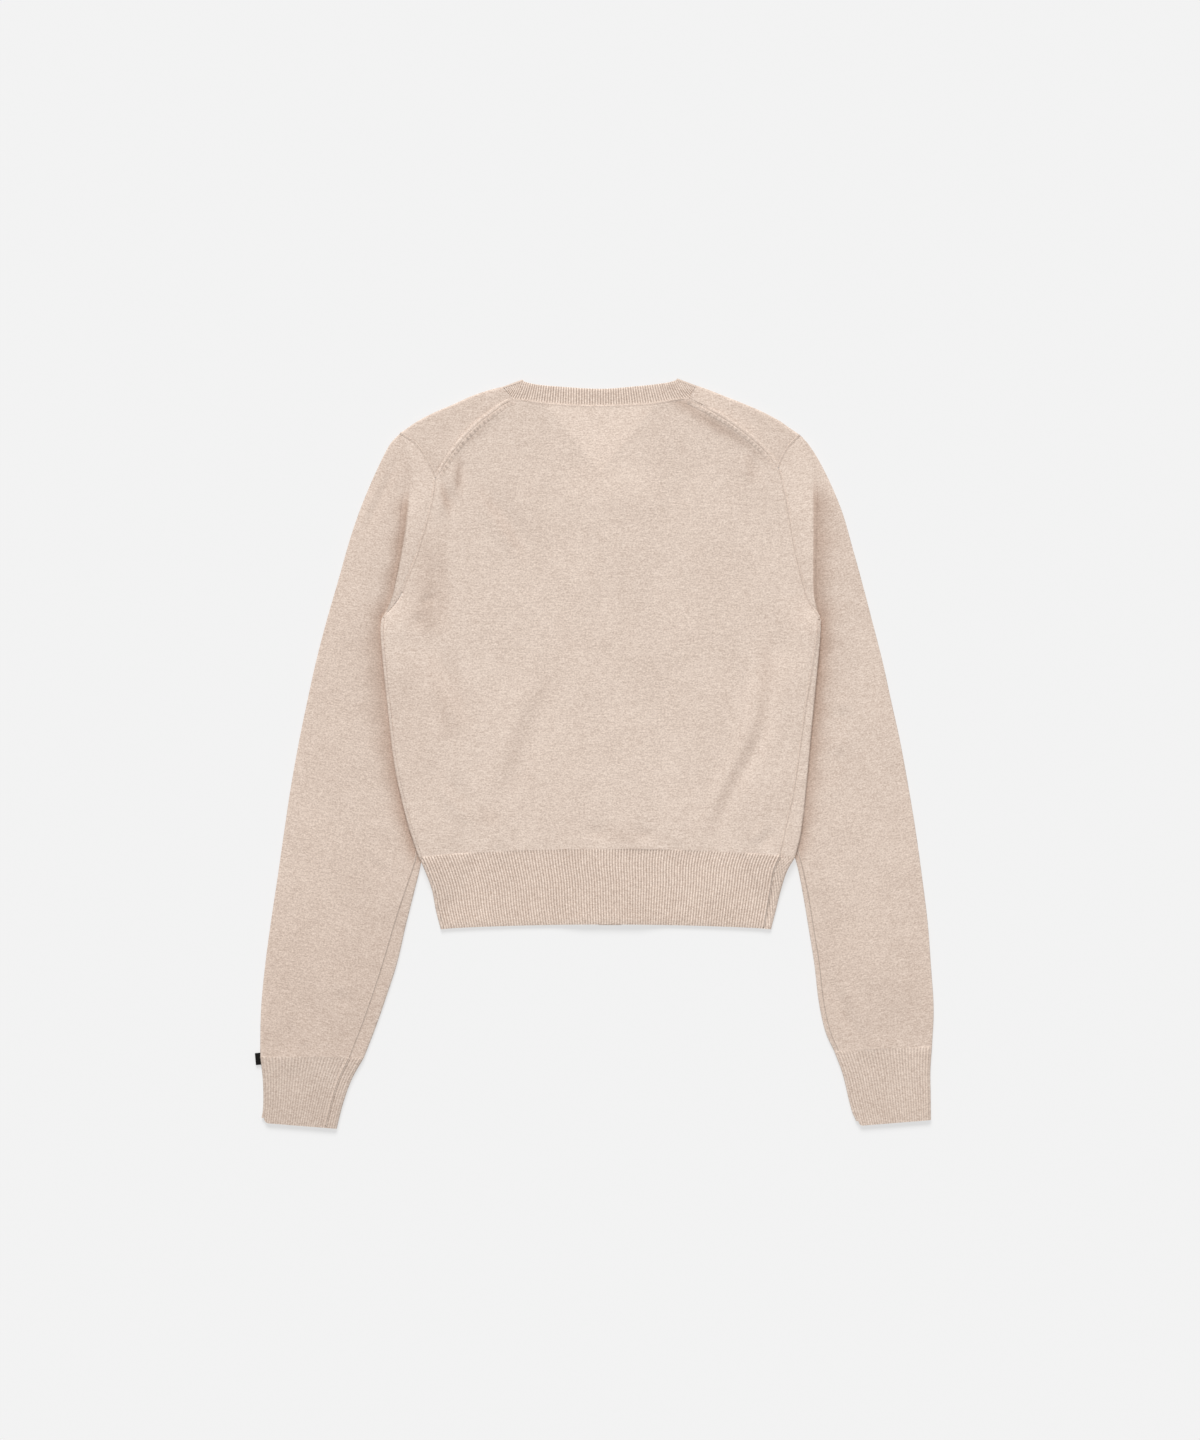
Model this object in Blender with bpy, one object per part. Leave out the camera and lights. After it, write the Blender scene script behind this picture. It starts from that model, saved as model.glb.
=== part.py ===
"""A cropped fine-knit cardigan, laid flat on its front, so its back is up.

Metres. +X runs to the right of the laid garment, +Y towards the neck, and +Z up off the table,
which is at z = 0. Each piece that a maker would knit and join is a closed solid of its own: a
cloth wall between an outer and an inner face. The two sides of the garment differ a little, so
each has its own tables. There, `out` is the distance from the middle line towards that side.
"""

import math
from collections import namedtuple

import bmesh
import bpy
import numpy as np

# Cloth and clearances
CLOTH = 0.0016  # thickness of the plain knit
BAND_CLOTH = 0.0010  # the front bands are knitted finer
SEAM_GAP = 0.0003  # between two pieces that are joined edge to edge
LAYER_GAP = 0.0004  # between two pieces that lie on each other
PANEL_STEP = CLOTH + LAYER_GAP  # from the underside of a front to that of the back
BODY_THICKNESS = PANEL_STEP + CLOTH
FOLD_RADIUS = BODY_THICKNESS / 2  # outside radius where a front turns over to the back

CENTRE_SHIFT = 0.0009  # brings the middle of the whole outline to x = 0

# Ribbing
RIB_HEIGHT = 0.0006
HEM_RIBS = 122
CUFF_RIBS = 30
NECK_RIBS = 65
WRAP_RIBS = 3

# Grid of the body
BODY_ROW_SHARES = (0, 0.05, 0.11, 0.19, 0.29, 0.40, 0.51, 0.62, 0.73, 0.83, 0.905, 0.95, 1)
BODY_ROWS = len(BODY_ROW_SHARES) - 1
SIDE_STEPS = (0.0, 0.010, 0.020, 0.031, 0.043, 0.056, 0.072)  # columns, counted from a side seam
SIDE_COLUMNS = len(SIDE_STEPS) - 1
MIDDLE_COLUMNS = 10
ARM_ROWS = 9  # from the armpit to the outer end of the shoulder seam
CAP_ROWS = 3  # from there to the shoulder fold
FLAP_ROWS = 3  # from the shoulder fold to the shoulder seam, on the back
TURN_STEPS = 4  # steps in the half turn at a folded edge
BAND_COLUMNS = 3  # on a front, from its last side column to its band
TURN_COLUMNS = TURN_STEPS + 1  # from the side seam round the folded edge to the underside
LOWER_ROWS = ARM_ROWS + CAP_ROWS
FRONT_COLUMNS = TURN_COLUMNS + 1 + SIDE_COLUMNS + BAND_COLUMNS
FRONT_ROWS = BODY_ROWS + LOWER_ROWS + TURN_STEPS + FLAP_ROWS
HEM_ROWS = 2
HEM_EASE = 0.0009  # more room under the back of the hem where the sleeves lift it
HEM_CROWN = 0.007  # the hem line rises this much in its middle
EDGE_CROWN = 0.0045  # and so does the lower edge

# Grid of the sleeves and cuffs
UPPER_STEPS = ARM_ROWS + CAP_ROWS
UNDER_STEPS = 6
EDGE_STEPS = 3
CUFF_UNDER_STEPS = 6
CUFF_THICKNESS = 0.0046

# How the body lies over the sleeves
SLEEVE_FLAT = 0.0039  # a sleeve under the body, or at its seams
SLEEVE_FULL = 0.0052  # the same where it lies free
TUCK_LIFT = 0.0047
TUCK_FALL = (0.003, 0.027)  # the body comes down over this stretch past the sleeve's edge
TUCK_TOP = (0.108, 0.148)  # y over which the lift dies out towards the armhole
TUCK_END = (-0.127, -0.101)  # y over which it dies out down the hem
STRIP_LIFT = 0.0024  # the folded sleeve head stands this much above the sleeve
STRIP_FOOT = 0.0025  # width of the step at its edge
STRIP_ROWS = 3  # rings of the folded sleeve head: on its crest, at its edge and at its foot
STRIP_SHARES = (0.35, 0.60, 0.80)
STRIP_HEIGHTS = (0.6, 1.0, 0.0)
EARLY_LIFTS = (1.0, 0.8, 0.6, 0.45, 0.3, 0.1)  # of the first rings, by the seam at the armpit
FULL_RING = 6  # the ring from which a sleeve has its full thickness
CAP_CORNER = 0.15  # share of the shoulder fold along which its end turns into the cap seam

# Front bands and buttons
CLOSING_X = 0.0135  # the line of the buttons
CLOSING_LIFT = 0.0026  # the back rises this much over the closed bands
CLOSING_FLAT = 0.020
CLOSING_FALL = 0.055
CLOSING_TOP = (0.226, 0.270)
NECK_SAG = 0.0012  # the back sinks into the open V of the fronts
NECK_DEPTH = (0.255, 0.342)
NECK_MIDDLE = 0.005
NECK_HALF_WIDTH = 0.071
BUTTONS = 7
BUTTON_TOP_Y = 0.205
BUTTON_END_Y = -0.148
BUTTON_RADIUS = 0.0055
BUTTON_THICKNESS = 0.0016
BUTTON_SIDES = 16
BUTTON_RIM = 0.0013
BUTTON_DISH = 0.0004

# The small tab on the left cuff
TAG_SIZE = (0.0040, 0.0105, 0.0012)
TAG_PLACE = (-0.3081, -0.2788, 0.0025)
TAG_TURN = math.radians(5)

Spot = namedtuple("Spot", "out y")
SleeveRow = namedtuple("SleeveRow", "outer_out outer_y inner_out inner_y bow open_share")
CuffRow = namedtuple("CuffRow", "outer_out outer_y inner_out inner_y")
BandRow = namedtuple("BandRow", "seam_x seam_y free_x free_y seam_z free_z")
Crease = namedtuple("Crease", "start_x start_y end_x end_y width height")
Side = namedtuple("Side", "name sign body_edge hem_edge seam_inset armhole cap_seam shoulder_seam "
                  "shoulder_fold front_edge sleeve_fold sleeve cuff")


def spots(*rows):
    return [Spot(*row) for row in rows]


LEFT = Side(
    name="left", sign=-1,
    body_edge=spots((0.1610, -0.0945), (0.1720, -0.0605), (0.1830, -0.0120), (0.1890, 0.0380),
                    (0.1935, 0.0800), (0.1960, 0.1110), (0.1950, 0.1235)),
    hem_edge=spots((0.1610, -0.0945), (0.1555, -0.1065), (0.1490, -0.1245), (0.1455, -0.1430),
                   (0.1410, -0.1605)),
    seam_inset=spots((0.0027, -0.1605), (0.0027, 0.1235)),
    armhole=spots((0.1950, 0.1235), (0.1800, 0.1400), (0.1715, 0.1595), (0.1635, 0.1780),
                  (0.1570, 0.1990), (0.1515, 0.2180), (0.1480, 0.2335), (0.1455, 0.2525)),
    cap_seam=spots((0.1455, 0.2525), (0.1500, 0.2625), (0.1560, 0.2720), (0.1645, 0.2835),
                   (0.1780, 0.2925)),
    shoulder_seam=spots((0.1455, 0.2525), (0.1365, 0.2680), (0.1255, 0.2830), (0.1115, 0.2985),
                        (0.0960, 0.3110), (0.0820, 0.3210), (0.0745, 0.3235)),
    shoulder_fold=spots((0.1780, 0.2925), (0.1620, 0.3035), (0.1455, 0.3120), (0.1290, 0.3190),
                        (0.1125, 0.3265), (0.0960, 0.3320), (0.0840, 0.3350)),
    front_edge=spots((-0.0030, -0.1600), (-0.0030, 0.0000), (-0.0030, 0.1000), (-0.0030, 0.1500),
                     (-0.0030, 0.1800), (-0.0030, 0.1970), (-0.0023, 0.2120), (0.0025, 0.2260),
                     (0.0110, 0.2430), (0.0230, 0.2600), (0.0465, 0.2895), (0.0840, 0.3350)),
    sleeve_fold=spots((0.1780, 0.2925), (0.1720, 0.2810), (0.1675, 0.2680), (0.1665, 0.2515),
                      (0.1690, 0.2335), (0.1715, 0.2115), (0.1760, 0.1850), (0.1800, 0.1650),
                      (0.1845, 0.1460), (0.1900, 0.1320), (0.1950, 0.1235)),
    sleeve=[
        SleeveRow(0.1780, 0.2925, 0.1950, 0.1235, 1.00, 1.00),
        SleeveRow(0.1870, 0.2830, 0.1985, 0.1170, 0.85, 1.00),
        SleeveRow(0.1955, 0.2670, 0.1990, 0.1100, 0.62, 0.92),
        SleeveRow(0.2060, 0.2440, 0.1980, 0.1030, 0.35, 0.86),
        SleeveRow(0.2160, 0.2190, 0.1920, 0.0920, 0.15, 0.86),
        SleeveRow(0.2250, 0.1920, 0.1820, 0.0770, 0.06, 0.76),
        SleeveRow(0.2350, 0.1565, 0.1700, 0.0550, 0.02, 0.66),
        SleeveRow(0.2450, 0.1220, 0.1610, 0.0300, 0.0, 0.62),
        SleeveRow(0.2550, 0.0835, 0.1550, 0.0000, 0.0, 0.62),
        SleeveRow(0.2630, 0.0470, 0.1520, -0.0300, 0.0, 0.66),
        SleeveRow(0.2705, 0.0105, 0.1535, -0.0620, 0.0, 0.76),
        SleeveRow(0.2780, -0.0315, 0.1590, -0.1000, 0.0, 0.90),
        SleeveRow(0.2840, -0.0715, 0.1655, -0.1275, 0.0, 1.0),
        SleeveRow(0.2895, -0.1100, 0.1730, -0.1575, 0.0, 1.0),
        SleeveRow(0.2955, -0.1500, 0.1810, -0.1920, 0.0, 1.0),
        SleeveRow(0.3010, -0.1905, 0.1920, -0.2260, 0.0, 1.0),
        SleeveRow(0.3050, -0.2325, 0.2010, -0.2515, 0.0, 1.0),
        SleeveRow(0.3060, -0.2760, 0.2110, -0.2775, 0.0, 1.0)],
    cuff=[
        CuffRow(0.3060, -0.2763, 0.2112, -0.2778),
        CuffRow(0.3035, -0.2970, 0.2220, -0.2970),
        CuffRow(0.3030, -0.3185, 0.2300, -0.3190),
        CuffRow(0.3045, -0.3370, 0.2360, -0.3425)],
)

RIGHT = Side(
    name="right", sign=1,
    body_edge=spots((0.1825, -0.0945), (0.1885, -0.0680), (0.1940, -0.0160), (0.1975, 0.0225),
                    (0.2030, 0.0790), (0.2055, 0.1065), (0.2060, 0.1220)),
    hem_edge=spots((0.1825, -0.0945), (0.1750, -0.1075), (0.1695, -0.1245), (0.1650, -0.1430),
                   (0.1605, -0.1605)),
    seam_inset=spots((0.0070, -0.1605), (0.0095, -0.1245), (0.0145, -0.0900), (0.0145, -0.0715),
                     (0.0105, -0.0325), (0.0090, -0.0050), (0.0065, 0.0535), (0.0027, 0.1110),
                     (0.0027, 0.1235)),
    armhole=spots((0.2060, 0.1220), (0.1950, 0.1385), (0.1890, 0.1560), (0.1850, 0.1725),
                  (0.1805, 0.1925), (0.1760, 0.2205), (0.1705, 0.2470), (0.1670, 0.2615)),
    cap_seam=spots((0.1670, 0.2615), (0.1695, 0.2680), (0.1755, 0.2790), (0.1865, 0.2910)),
    shoulder_seam=spots((0.1670, 0.2615), (0.1585, 0.2740), (0.1480, 0.2845), (0.1300, 0.2990),
                        (0.1075, 0.3130), (0.0855, 0.3245)),
    shoulder_fold=spots((0.1865, 0.2910), (0.1750, 0.2990), (0.1670, 0.3045), (0.1505, 0.3130),
                        (0.1340, 0.3200), (0.1175, 0.3265), (0.1010, 0.3330), (0.0920, 0.3360)),
    front_edge=spots((0.0240, -0.1600), (0.0240, 0.0100), (0.0240, 0.1200), (0.0240, 0.1700),
                     (0.0240, 0.2000), (0.0240, 0.2160), (0.0242, 0.2320), (0.0260, 0.2470),
                     (0.0355, 0.2645), (0.0580, 0.2935), (0.0920, 0.3360)),
    sleeve_fold=spots((0.1865, 0.2910), (0.1925, 0.2790), (0.1960, 0.2660), (0.1975, 0.2515),
                      (0.1980, 0.2390), (0.1985, 0.2070), (0.1985, 0.1740), (0.1990, 0.1515),
                      (0.2015, 0.1350), (0.2060, 0.1220)),
    sleeve=[
        SleeveRow(0.1865, 0.2910, 0.2060, 0.1220, 1.00, 1.00),
        SleeveRow(0.1950, 0.2820, 0.2090, 0.1150, 0.85, 1.00),
        SleeveRow(0.2045, 0.2670, 0.2095, 0.1080, 0.62, 0.94),
        SleeveRow(0.2155, 0.2450, 0.2085, 0.1010, 0.35, 0.90),
        SleeveRow(0.2260, 0.2190, 0.2030, 0.0900, 0.15, 0.86),
        SleeveRow(0.2345, 0.1895, 0.1935, 0.0750, 0.06, 0.76),
        SleeveRow(0.2445, 0.1530, 0.1820, 0.0530, 0.02, 0.66),
        SleeveRow(0.2535, 0.1185, 0.1730, 0.0280, 0.0, 0.62),
        SleeveRow(0.2620, 0.0855, 0.1675, -0.0020, 0.0, 0.62),
        SleeveRow(0.2700, 0.0490, 0.1665, -0.0320, 0.0, 0.66),
        SleeveRow(0.2785, 0.0105, 0.1720, -0.0640, 0.0, 0.76),
        SleeveRow(0.2865, -0.0335, 0.1835, -0.0990, 0.0, 0.90),
        SleeveRow(0.2930, -0.0735, 0.1895, -0.1275, 0.0, 1.0),
        SleeveRow(0.2985, -0.1135, 0.1945, -0.1575, 0.0, 1.0),
        SleeveRow(0.3035, -0.1540, 0.2000, -0.1920, 0.0, 1.0),
        SleeveRow(0.3065, -0.1940, 0.2040, -0.2260, 0.0, 1.0),
        SleeveRow(0.3090, -0.2325, 0.2100, -0.2535, 0.0, 1.0),
        SleeveRow(0.3075, -0.2670, 0.2180, -0.2715, 0.0, 1.0)],
    cuff=[
        CuffRow(0.3075, -0.2673, 0.2182, -0.2718),
        CuffRow(0.3060, -0.2890, 0.2260, -0.2930),
        CuffRow(0.3062, -0.3110, 0.2320, -0.3180),
        CuffRow(0.3065, -0.3345, 0.2380, -0.3400)],
)

NECK_SEAM = [(-0.0745, 0.3235), (-0.0610, 0.3215), (-0.0470, 0.3195), (-0.0190, 0.3175),
             (0.0045, 0.3170), (0.0345, 0.3180), (0.0500, 0.3190), (0.0740, 0.3225),
             (0.0855, 0.3245)]
NECK_TOP = [(-0.0665, 0.3415), (-0.0540, 0.3370), (-0.0330, 0.3350), (0.0045, 0.3330),
            (0.0345, 0.3350), (0.0620, 0.3380), (0.0750, 0.3425)]

BANDS = {
    "band_left": [
        BandRow(-0.0840, 0.3350, -0.0665, 0.3415, 0.0, 0.0),
        BandRow(-0.0465, 0.2895, -0.0320, 0.3010, 0.0, 0.0),
        BandRow(-0.0230, 0.2600, -0.0085, 0.2715, 0.0, 0.0002),
        BandRow(-0.0110, 0.2430, 0.0045, 0.2545, 0.0008, 0.0017),
        BandRow(-0.0025, 0.2260, 0.0145, 0.2350, 0.0016, 0.0028),
        BandRow(0.0023, 0.2120, 0.0200, 0.2180, 0.0019, 0.0032),
        BandRow(0.0030, 0.1970, 0.0210, 0.1995, 0.0019, 0.0032),
        BandRow(0.0030, 0.1000, 0.0210, 0.1000, 0.0019, 0.0032),
        BandRow(0.0030, 0.0000, 0.0210, 0.0000, 0.0019, 0.0032),
        BandRow(0.0030, -0.0900, 0.0210, -0.0900, 0.0019, 0.0032),
        BandRow(0.0030, -0.1565, 0.0210, -0.1565, 0.0019, 0.0032)],
    "band_right": [
        BandRow(0.0920, 0.3360, 0.0750, 0.3425, 0.0, 0.0),
        BandRow(0.0580, 0.2935, 0.0437, 0.3045, 0.0, 0.0),
        BandRow(0.0355, 0.2645, 0.0210, 0.2753, 0.0, 0.0),
        BandRow(0.0254, 0.2470, 0.0078, 0.2590, 0.0, 0.0),
        BandRow(0.0236, 0.2320, 0.0060, 0.2405, 0.0004, 0.0004),
        BandRow(0.0240, 0.2160, 0.0060, 0.2200, 0.0019, 0.0019),
        BandRow(0.0240, 0.1000, 0.0060, 0.1000, 0.0019, 0.0019),
        BandRow(0.0240, 0.0000, 0.0060, 0.0000, 0.0019, 0.0019),
        BandRow(0.0240, -0.0900, 0.0060, -0.0900, 0.0019, 0.0019),
        BandRow(0.0240, -0.1565, 0.0060, -0.1565, 0.0019, 0.0019)],
}
BAND_KNEE = 0.17  # share of a band's width over which it climbs onto the other band
BAND_STEPS = 24

# The largest folds of the back, as soft ridges of its upper face
CREASES = [
    Crease(0.160, 0.133, 0.141, 0.012, 0.016, 0.0008),
    Crease(0.141, 0.012, 0.084, -0.092, 0.016, 0.0010),
    Crease(-0.152, 0.150, -0.143, 0.060, 0.016, 0.0007),
    Crease(-0.143, 0.060, -0.112, -0.066, 0.015, 0.0006),
    Crease(-0.040, 0.072, -0.088, -0.047, 0.022, 0.0006),
]

COLOURS = {
    "knit": ((0.73, 0.60, 0.51), 0.92),
    "rib": ((0.68, 0.55, 0.46), 0.92),
    "button": ((0.60, 0.50, 0.42), 0.35),
    "tag": ((0.02, 0.02, 0.02), 0.75),
}


def clear_scene():
    for item in list(bpy.data.objects):
        bpy.data.objects.remove(item)


def make_materials():
    made = {}
    for name, (colour, roughness) in COLOURS.items():
        material = bpy.data.materials.new(name)
        material.use_nodes = True
        shader = material.node_tree.nodes["Principled BSDF"]
        shader.inputs["Base Color"].default_value = (*colour, 1.0)
        shader.inputs["Roughness"].default_value = roughness
        shader.inputs["Metallic"].default_value = 0.0
        made[name] = material
    return made


def ease(low, high, value):
    """0 below low, 1 above high, with a soft start and end."""
    share = min(max((value - low) / (high - low), 0.0), 1.0)
    return share * share * (3 - 2 * share)


def unit(vector):
    return vector / np.linalg.norm(vector)


def mix(first, second, share):
    return np.asarray(first, float) * (1 - share) + np.asarray(second, float) * share


class Route:
    """A smooth line through a few points, read by its share of length or by its y."""

    SAMPLES = 12

    def __init__(self, points, corners=False):
        knots = np.array(points, float)
        self.line = knots if corners else self.rounded(knots)
        steps = np.linalg.norm(np.diff(self.line, axis=0), axis=1)
        self.run = np.concatenate(([0.0], np.cumsum(steps)))
        self.length = self.run[-1]

    def rounded(self, knots):
        ends = np.vstack((2 * knots[0] - knots[1], knots, 2 * knots[-1] - knots[-2]))
        line = []
        for before, start, end, after in zip(ends, ends[1:], ends[2:], ends[3:]):
            for step in range(self.SAMPLES):
                t = step / self.SAMPLES
                line.append(0.5 * (2 * start + (end - before) * t
                                   + (2 * before - 5 * start + 4 * end - after) * t ** 2
                                   + (3 * start - before - 3 * end + after) * t ** 3))
        line.append(knots[-1])
        return np.array(line)

    def at(self, share):
        where = min(max(share, 0.0), 1.0) * self.length
        return np.array([np.interp(where, self.run, axis) for axis in self.line.T])

    def share_at_y(self, y):
        rising = self.line[-1, 1] > self.line[0, 1]
        line_y, run = (self.line[:, 1], self.run) if rising else (self.line[::-1, 1], self.run[::-1])
        return np.interp(y, line_y, run) / self.length

    def x_at_y(self, y):
        return self.at(self.share_at_y(y))[0]


def world(side, points):
    return [(side.sign * spot.out, spot.y) for spot in points]


def make_routes(side):
    """The outlines of one side of the garment, as seen from above."""
    routes = {field: Route(world(side, getattr(side, field)))
              for field in ("body_edge", "hem_edge", "armhole", "cap_seam", "shoulder_seam",
                            "shoulder_fold", "front_edge", "sleeve_fold")}
    routes["inset"] = Route([(spot.out, spot.y) for spot in side.seam_inset], corners=True)
    routes["sleeve_inner"] = Route([(row.inner_out, row.inner_y) for row in side.sleeve])
    return routes


ROUTES = {side.name: make_routes(side) for side in (LEFT, RIGHT)}


def tuck_lift(x, y):
    """How far the body is lifted by the sleeves that lie under its sides."""
    fade = (1 - ease(*TUCK_TOP, y)) * ease(*TUCK_END, y)
    side = LEFT if x < 0 else RIGHT
    inner = ROUTES[side.name]["sleeve_inner"]
    past = inner.x_at_y(min(y, side.sleeve[0].inner_y)) - side.sign * x
    return TUCK_LIFT * fade * (1 - ease(*TUCK_FALL, past))


def closing_lift(x, y):
    """How far the back is lifted by the closed bands under it."""
    across = 1 - ease(CLOSING_FLAT, CLOSING_FALL, abs(x - CLOSING_X))
    return CLOSING_LIFT * across * (1 - ease(*CLOSING_TOP, y))


def neck_sag(x, y):
    """How far the back sinks where no front lies under it."""
    depth = ease(*NECK_DEPTH, y)
    width = max(NECK_HALF_WIDTH * depth, 0.001)
    return NECK_SAG * depth * (1 - ease(0.3 * width, width, abs(x - NECK_MIDDLE)))


def crease_height(x, y):
    """The soft ridges of the upper face."""
    height = 0.0
    for crease in CREASES:
        start = np.array((crease.start_x, crease.start_y))
        along = np.array((crease.end_x, crease.end_y)) - start
        share = float(np.clip(np.dot((x, y) - start, along) / np.dot(along, along), 0, 1))
        away = np.linalg.norm((x, y) - start - share * along)
        height = max(height, crease.height * (1 - ease(0, crease.width, away)))
    return height


def back_underside(x, y):
    return tuck_lift(x, y) + PANEL_STEP + closing_lift(x, y) - neck_sag(x, y)


def rib_wave(column):
    return RIB_HEIGHT * (column % 2)


def build_shell(name, columns, rows, place, material, closed=False, missing=None,
                mirrored=False):
    """Make a cloth wall from a grid and its copy, which `place` puts on the wall's two faces."""
    shell = bmesh.new()
    bmesh.ops.create_grid(shell, x_segments=columns, y_segments=rows, size=1.0)
    column_of = shell.verts.layers.int.new("column")
    row_of = shell.verts.layers.int.new("row")
    for vert in shell.verts:
        vert[column_of] = round((vert.co.x + 1) / 2 * columns)
        vert[row_of] = round((vert.co.y + 1) / 2 * rows)
    if missing:
        gone = [face for face in shell.faces
                if missing(min(vert[column_of] for vert in face.verts),
                           min(vert[row_of] for vert in face.verts))]
        bmesh.ops.delete(shell, geom=gone, context="FACES")
    if closed:
        for vert in shell.verts:
            angle = 2 * math.pi * vert[column_of] / columns
            vert.co = (math.cos(angle), math.sin(angle), vert[row_of])
        bmesh.ops.remove_doubles(shell, verts=shell.verts[:], dist=0.0001)
    copied = bmesh.ops.extrude_face_region(shell, geom=shell.faces[:], use_keep_orig=True)
    outside = {item for item in copied["geom"] if isinstance(item, bmesh.types.BMVert)}
    for vert in shell.verts:
        column = vert[column_of] % columns if closed else vert[column_of]
        vert.co = place(column, vert[row_of], vert in outside)
    split = "ALTERNATE" if mirrored else "FIXED"
    bmesh.ops.triangulate(shell, faces=shell.faces[:], quad_method=split)
    bmesh.ops.recalc_face_normals(shell, faces=shell.faces[:])
    return finish_object(name, shell, material)


def finish_object(name, shape, material):
    bmesh.ops.translate(shape, verts=shape.verts[:], vec=(CENTRE_SHIFT, 0, 0))
    mesh = bpy.data.meshes.new(name)
    shape.to_mesh(mesh)
    shape.free()
    mesh.materials.append(material)
    piece = bpy.data.objects.new(name, mesh)
    COLLECTION.objects.link(piece)
    return piece


def body_row(row):
    """The left and right ends of a row of the body, from the hem line up to the armpits."""
    share = BODY_ROW_SHARES[row]
    return [ROUTES[side.name]["body_edge"].at(share) for side in (LEFT, RIGHT)]


def hem_row(row):
    """The same down the hem, from the hem line to the lower edge."""
    return [ROUTES[side.name]["hem_edge"].at(row / HEM_ROWS) for side in (LEFT, RIGHT)]


def row_y(ends, x, crown):
    """The height of a row at x, with its middle raised by crown."""
    (left_x, left_y), (right_x, right_y) = ends
    share = min(max((x - left_x) / (right_x - left_x), 0.0), 1.0)
    return left_y + (right_y - left_y) * share + crown * math.sin(math.pi * share) ** 0.7


def body_crown(row):
    return HEM_CROWN * (1 - BODY_ROW_SHARES[row])


def hem_crown(row):
    return HEM_CROWN + (EDGE_CROWN - HEM_CROWN) * row / HEM_ROWS


def seam_inset(side, y):
    """The distance of a side seam from the folded edge of the body."""
    return ROUTES[side.name]["inset"].x_at_y(y)


def inward(side, edge, distance):
    return edge[0] - side.sign * distance


def turn_point(angle, inside):
    """A point of the half turn at a fold: how far in from the edge, and how high."""
    radius = FOLD_RADIUS - (CLOTH if inside else 0.0)
    return FOLD_RADIUS - radius * math.cos(angle), FOLD_RADIUS + radius * math.sin(angle)


def patch(bottom, top, left, right, across, up):
    """A point of the sheet between four edges, each given as a point."""
    ruled = mix(bottom["at"], top["at"], up)
    left_bow = left - mix(bottom["start"], top["start"], up)
    right_bow = right - mix(bottom["end"], top["end"], up)
    return ruled + (1 - across) * left_bow + across * right_bow


# The back

def back_top_edge(column):
    """The upper edge of the back: a shoulder seam, the neck seam and the other shoulder seam."""
    if column <= SIDE_COLUMNS:
        point = ROUTES["left"]["shoulder_seam"].at(column / SIDE_COLUMNS)
    elif column < SIDE_COLUMNS + MIDDLE_COLUMNS:
        point = Route(NECK_SEAM).at((column - SIDE_COLUMNS) / MIDDLE_COLUMNS)
    else:
        share = (2 * SIDE_COLUMNS + MIDDLE_COLUMNS - column) / SIDE_COLUMNS
        point = ROUTES["right"]["shoulder_seam"].at(share)
    return point - (0.0, 1.4 * SEAM_GAP)


def back_lattice(column, row):
    """A point of the back below the armpits."""
    ends = body_row(row)
    inner = []
    for side, edge in zip((LEFT, RIGHT), ends):
        seam = seam_inset(side, edge[1])
        gap = SEAM_GAP if column in (0, 2 * SIDE_COLUMNS + MIDDLE_COLUMNS) else 0.0
        inner.append((side, edge, seam + gap))
    if column <= SIDE_COLUMNS:
        side, edge, seam = inner[0]
        x = inward(side, edge, seam + SIDE_STEPS[column])
    elif column >= SIDE_COLUMNS + MIDDLE_COLUMNS:
        side, edge, seam = inner[1]
        x = inward(side, edge, seam + SIDE_STEPS[2 * SIDE_COLUMNS + MIDDLE_COLUMNS - column])
    else:
        reach = [inward(side, edge, seam + SIDE_STEPS[-1]) for side, edge, seam in inner]
        x = mix(reach[0], reach[1], (column - SIDE_COLUMNS) / MIDDLE_COLUMNS)
    return np.array((x, row_y(ends, x, body_crown(row))))


def back_plan(column, row):
    if row <= BODY_ROWS:
        return back_lattice(column, row)
    columns = 2 * SIDE_COLUMNS + MIDDLE_COLUMNS
    up = (row - BODY_ROWS) / ARM_ROWS
    start, end, here = [back_lattice(c, BODY_ROWS) for c in (0, columns, column)]
    across = (here[0] - start[0]) / (end[0] - start[0])
    across = across + (column / columns - across) * up
    if column in (0, columns):
        across = column / columns
    left = ROUTES["left"]["armhole"].at(up) + (SEAM_GAP, 0.0)
    right = ROUTES["right"]["armhole"].at(up) - (SEAM_GAP, 0.0)
    bottom = {"at": here, "start": start, "end": end}
    top = {"at": back_top_edge(column), "start": back_top_edge(0), "end": back_top_edge(columns)}
    return patch(bottom, top, left, right, across, up)


def back_point(column, row, outside):
    x, y = back_plan(column, row)
    z = back_underside(x, y)
    return (x, y, z + CLOTH + crease_height(x, y)) if outside else (x, y, z)


def build_back(material):
    build_shell("back", 2 * SIDE_COLUMNS + MIDDLE_COLUMNS, BODY_ROWS + ARM_ROWS, back_point,
                material)


# The fronts

def side_turn(side, ends, column, inside, crown):
    """The part of a front that turns over the side edge, up to the side seam on the back."""
    edge = ends[0 if side is LEFT else 1]
    lift = tuck_lift(edge[0], edge[1])
    if column == 0:
        x = inward(side, edge, seam_inset(side, edge[1]))
        z = tuck_lift(x, edge[1]) + (PANEL_STEP if inside else BODY_THICKNESS)
    else:
        angle = math.pi / 2 - math.pi * (column - 1) / TURN_STEPS
        depth, height = turn_point(angle, inside)
        x = inward(side, edge, depth)
        z = lift + height
    return x, row_y(ends, x, crown), z


def front_run_x(side, edge, column):
    """The x of a column on the flat underside of a front, below the armpit."""
    seam = seam_inset(side, edge[1])
    step = column - TURN_COLUMNS - 1
    if step <= SIDE_COLUMNS:
        return inward(side, edge, seam + SIDE_STEPS[step])
    reach = inward(side, edge, seam + SIDE_STEPS[-1])
    band = ROUTES[side.name]["front_edge"].x_at_y(edge[1]) + side.sign * SEAM_GAP
    return float(mix(reach, band, (step - SIDE_COLUMNS) / BAND_COLUMNS))


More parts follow.
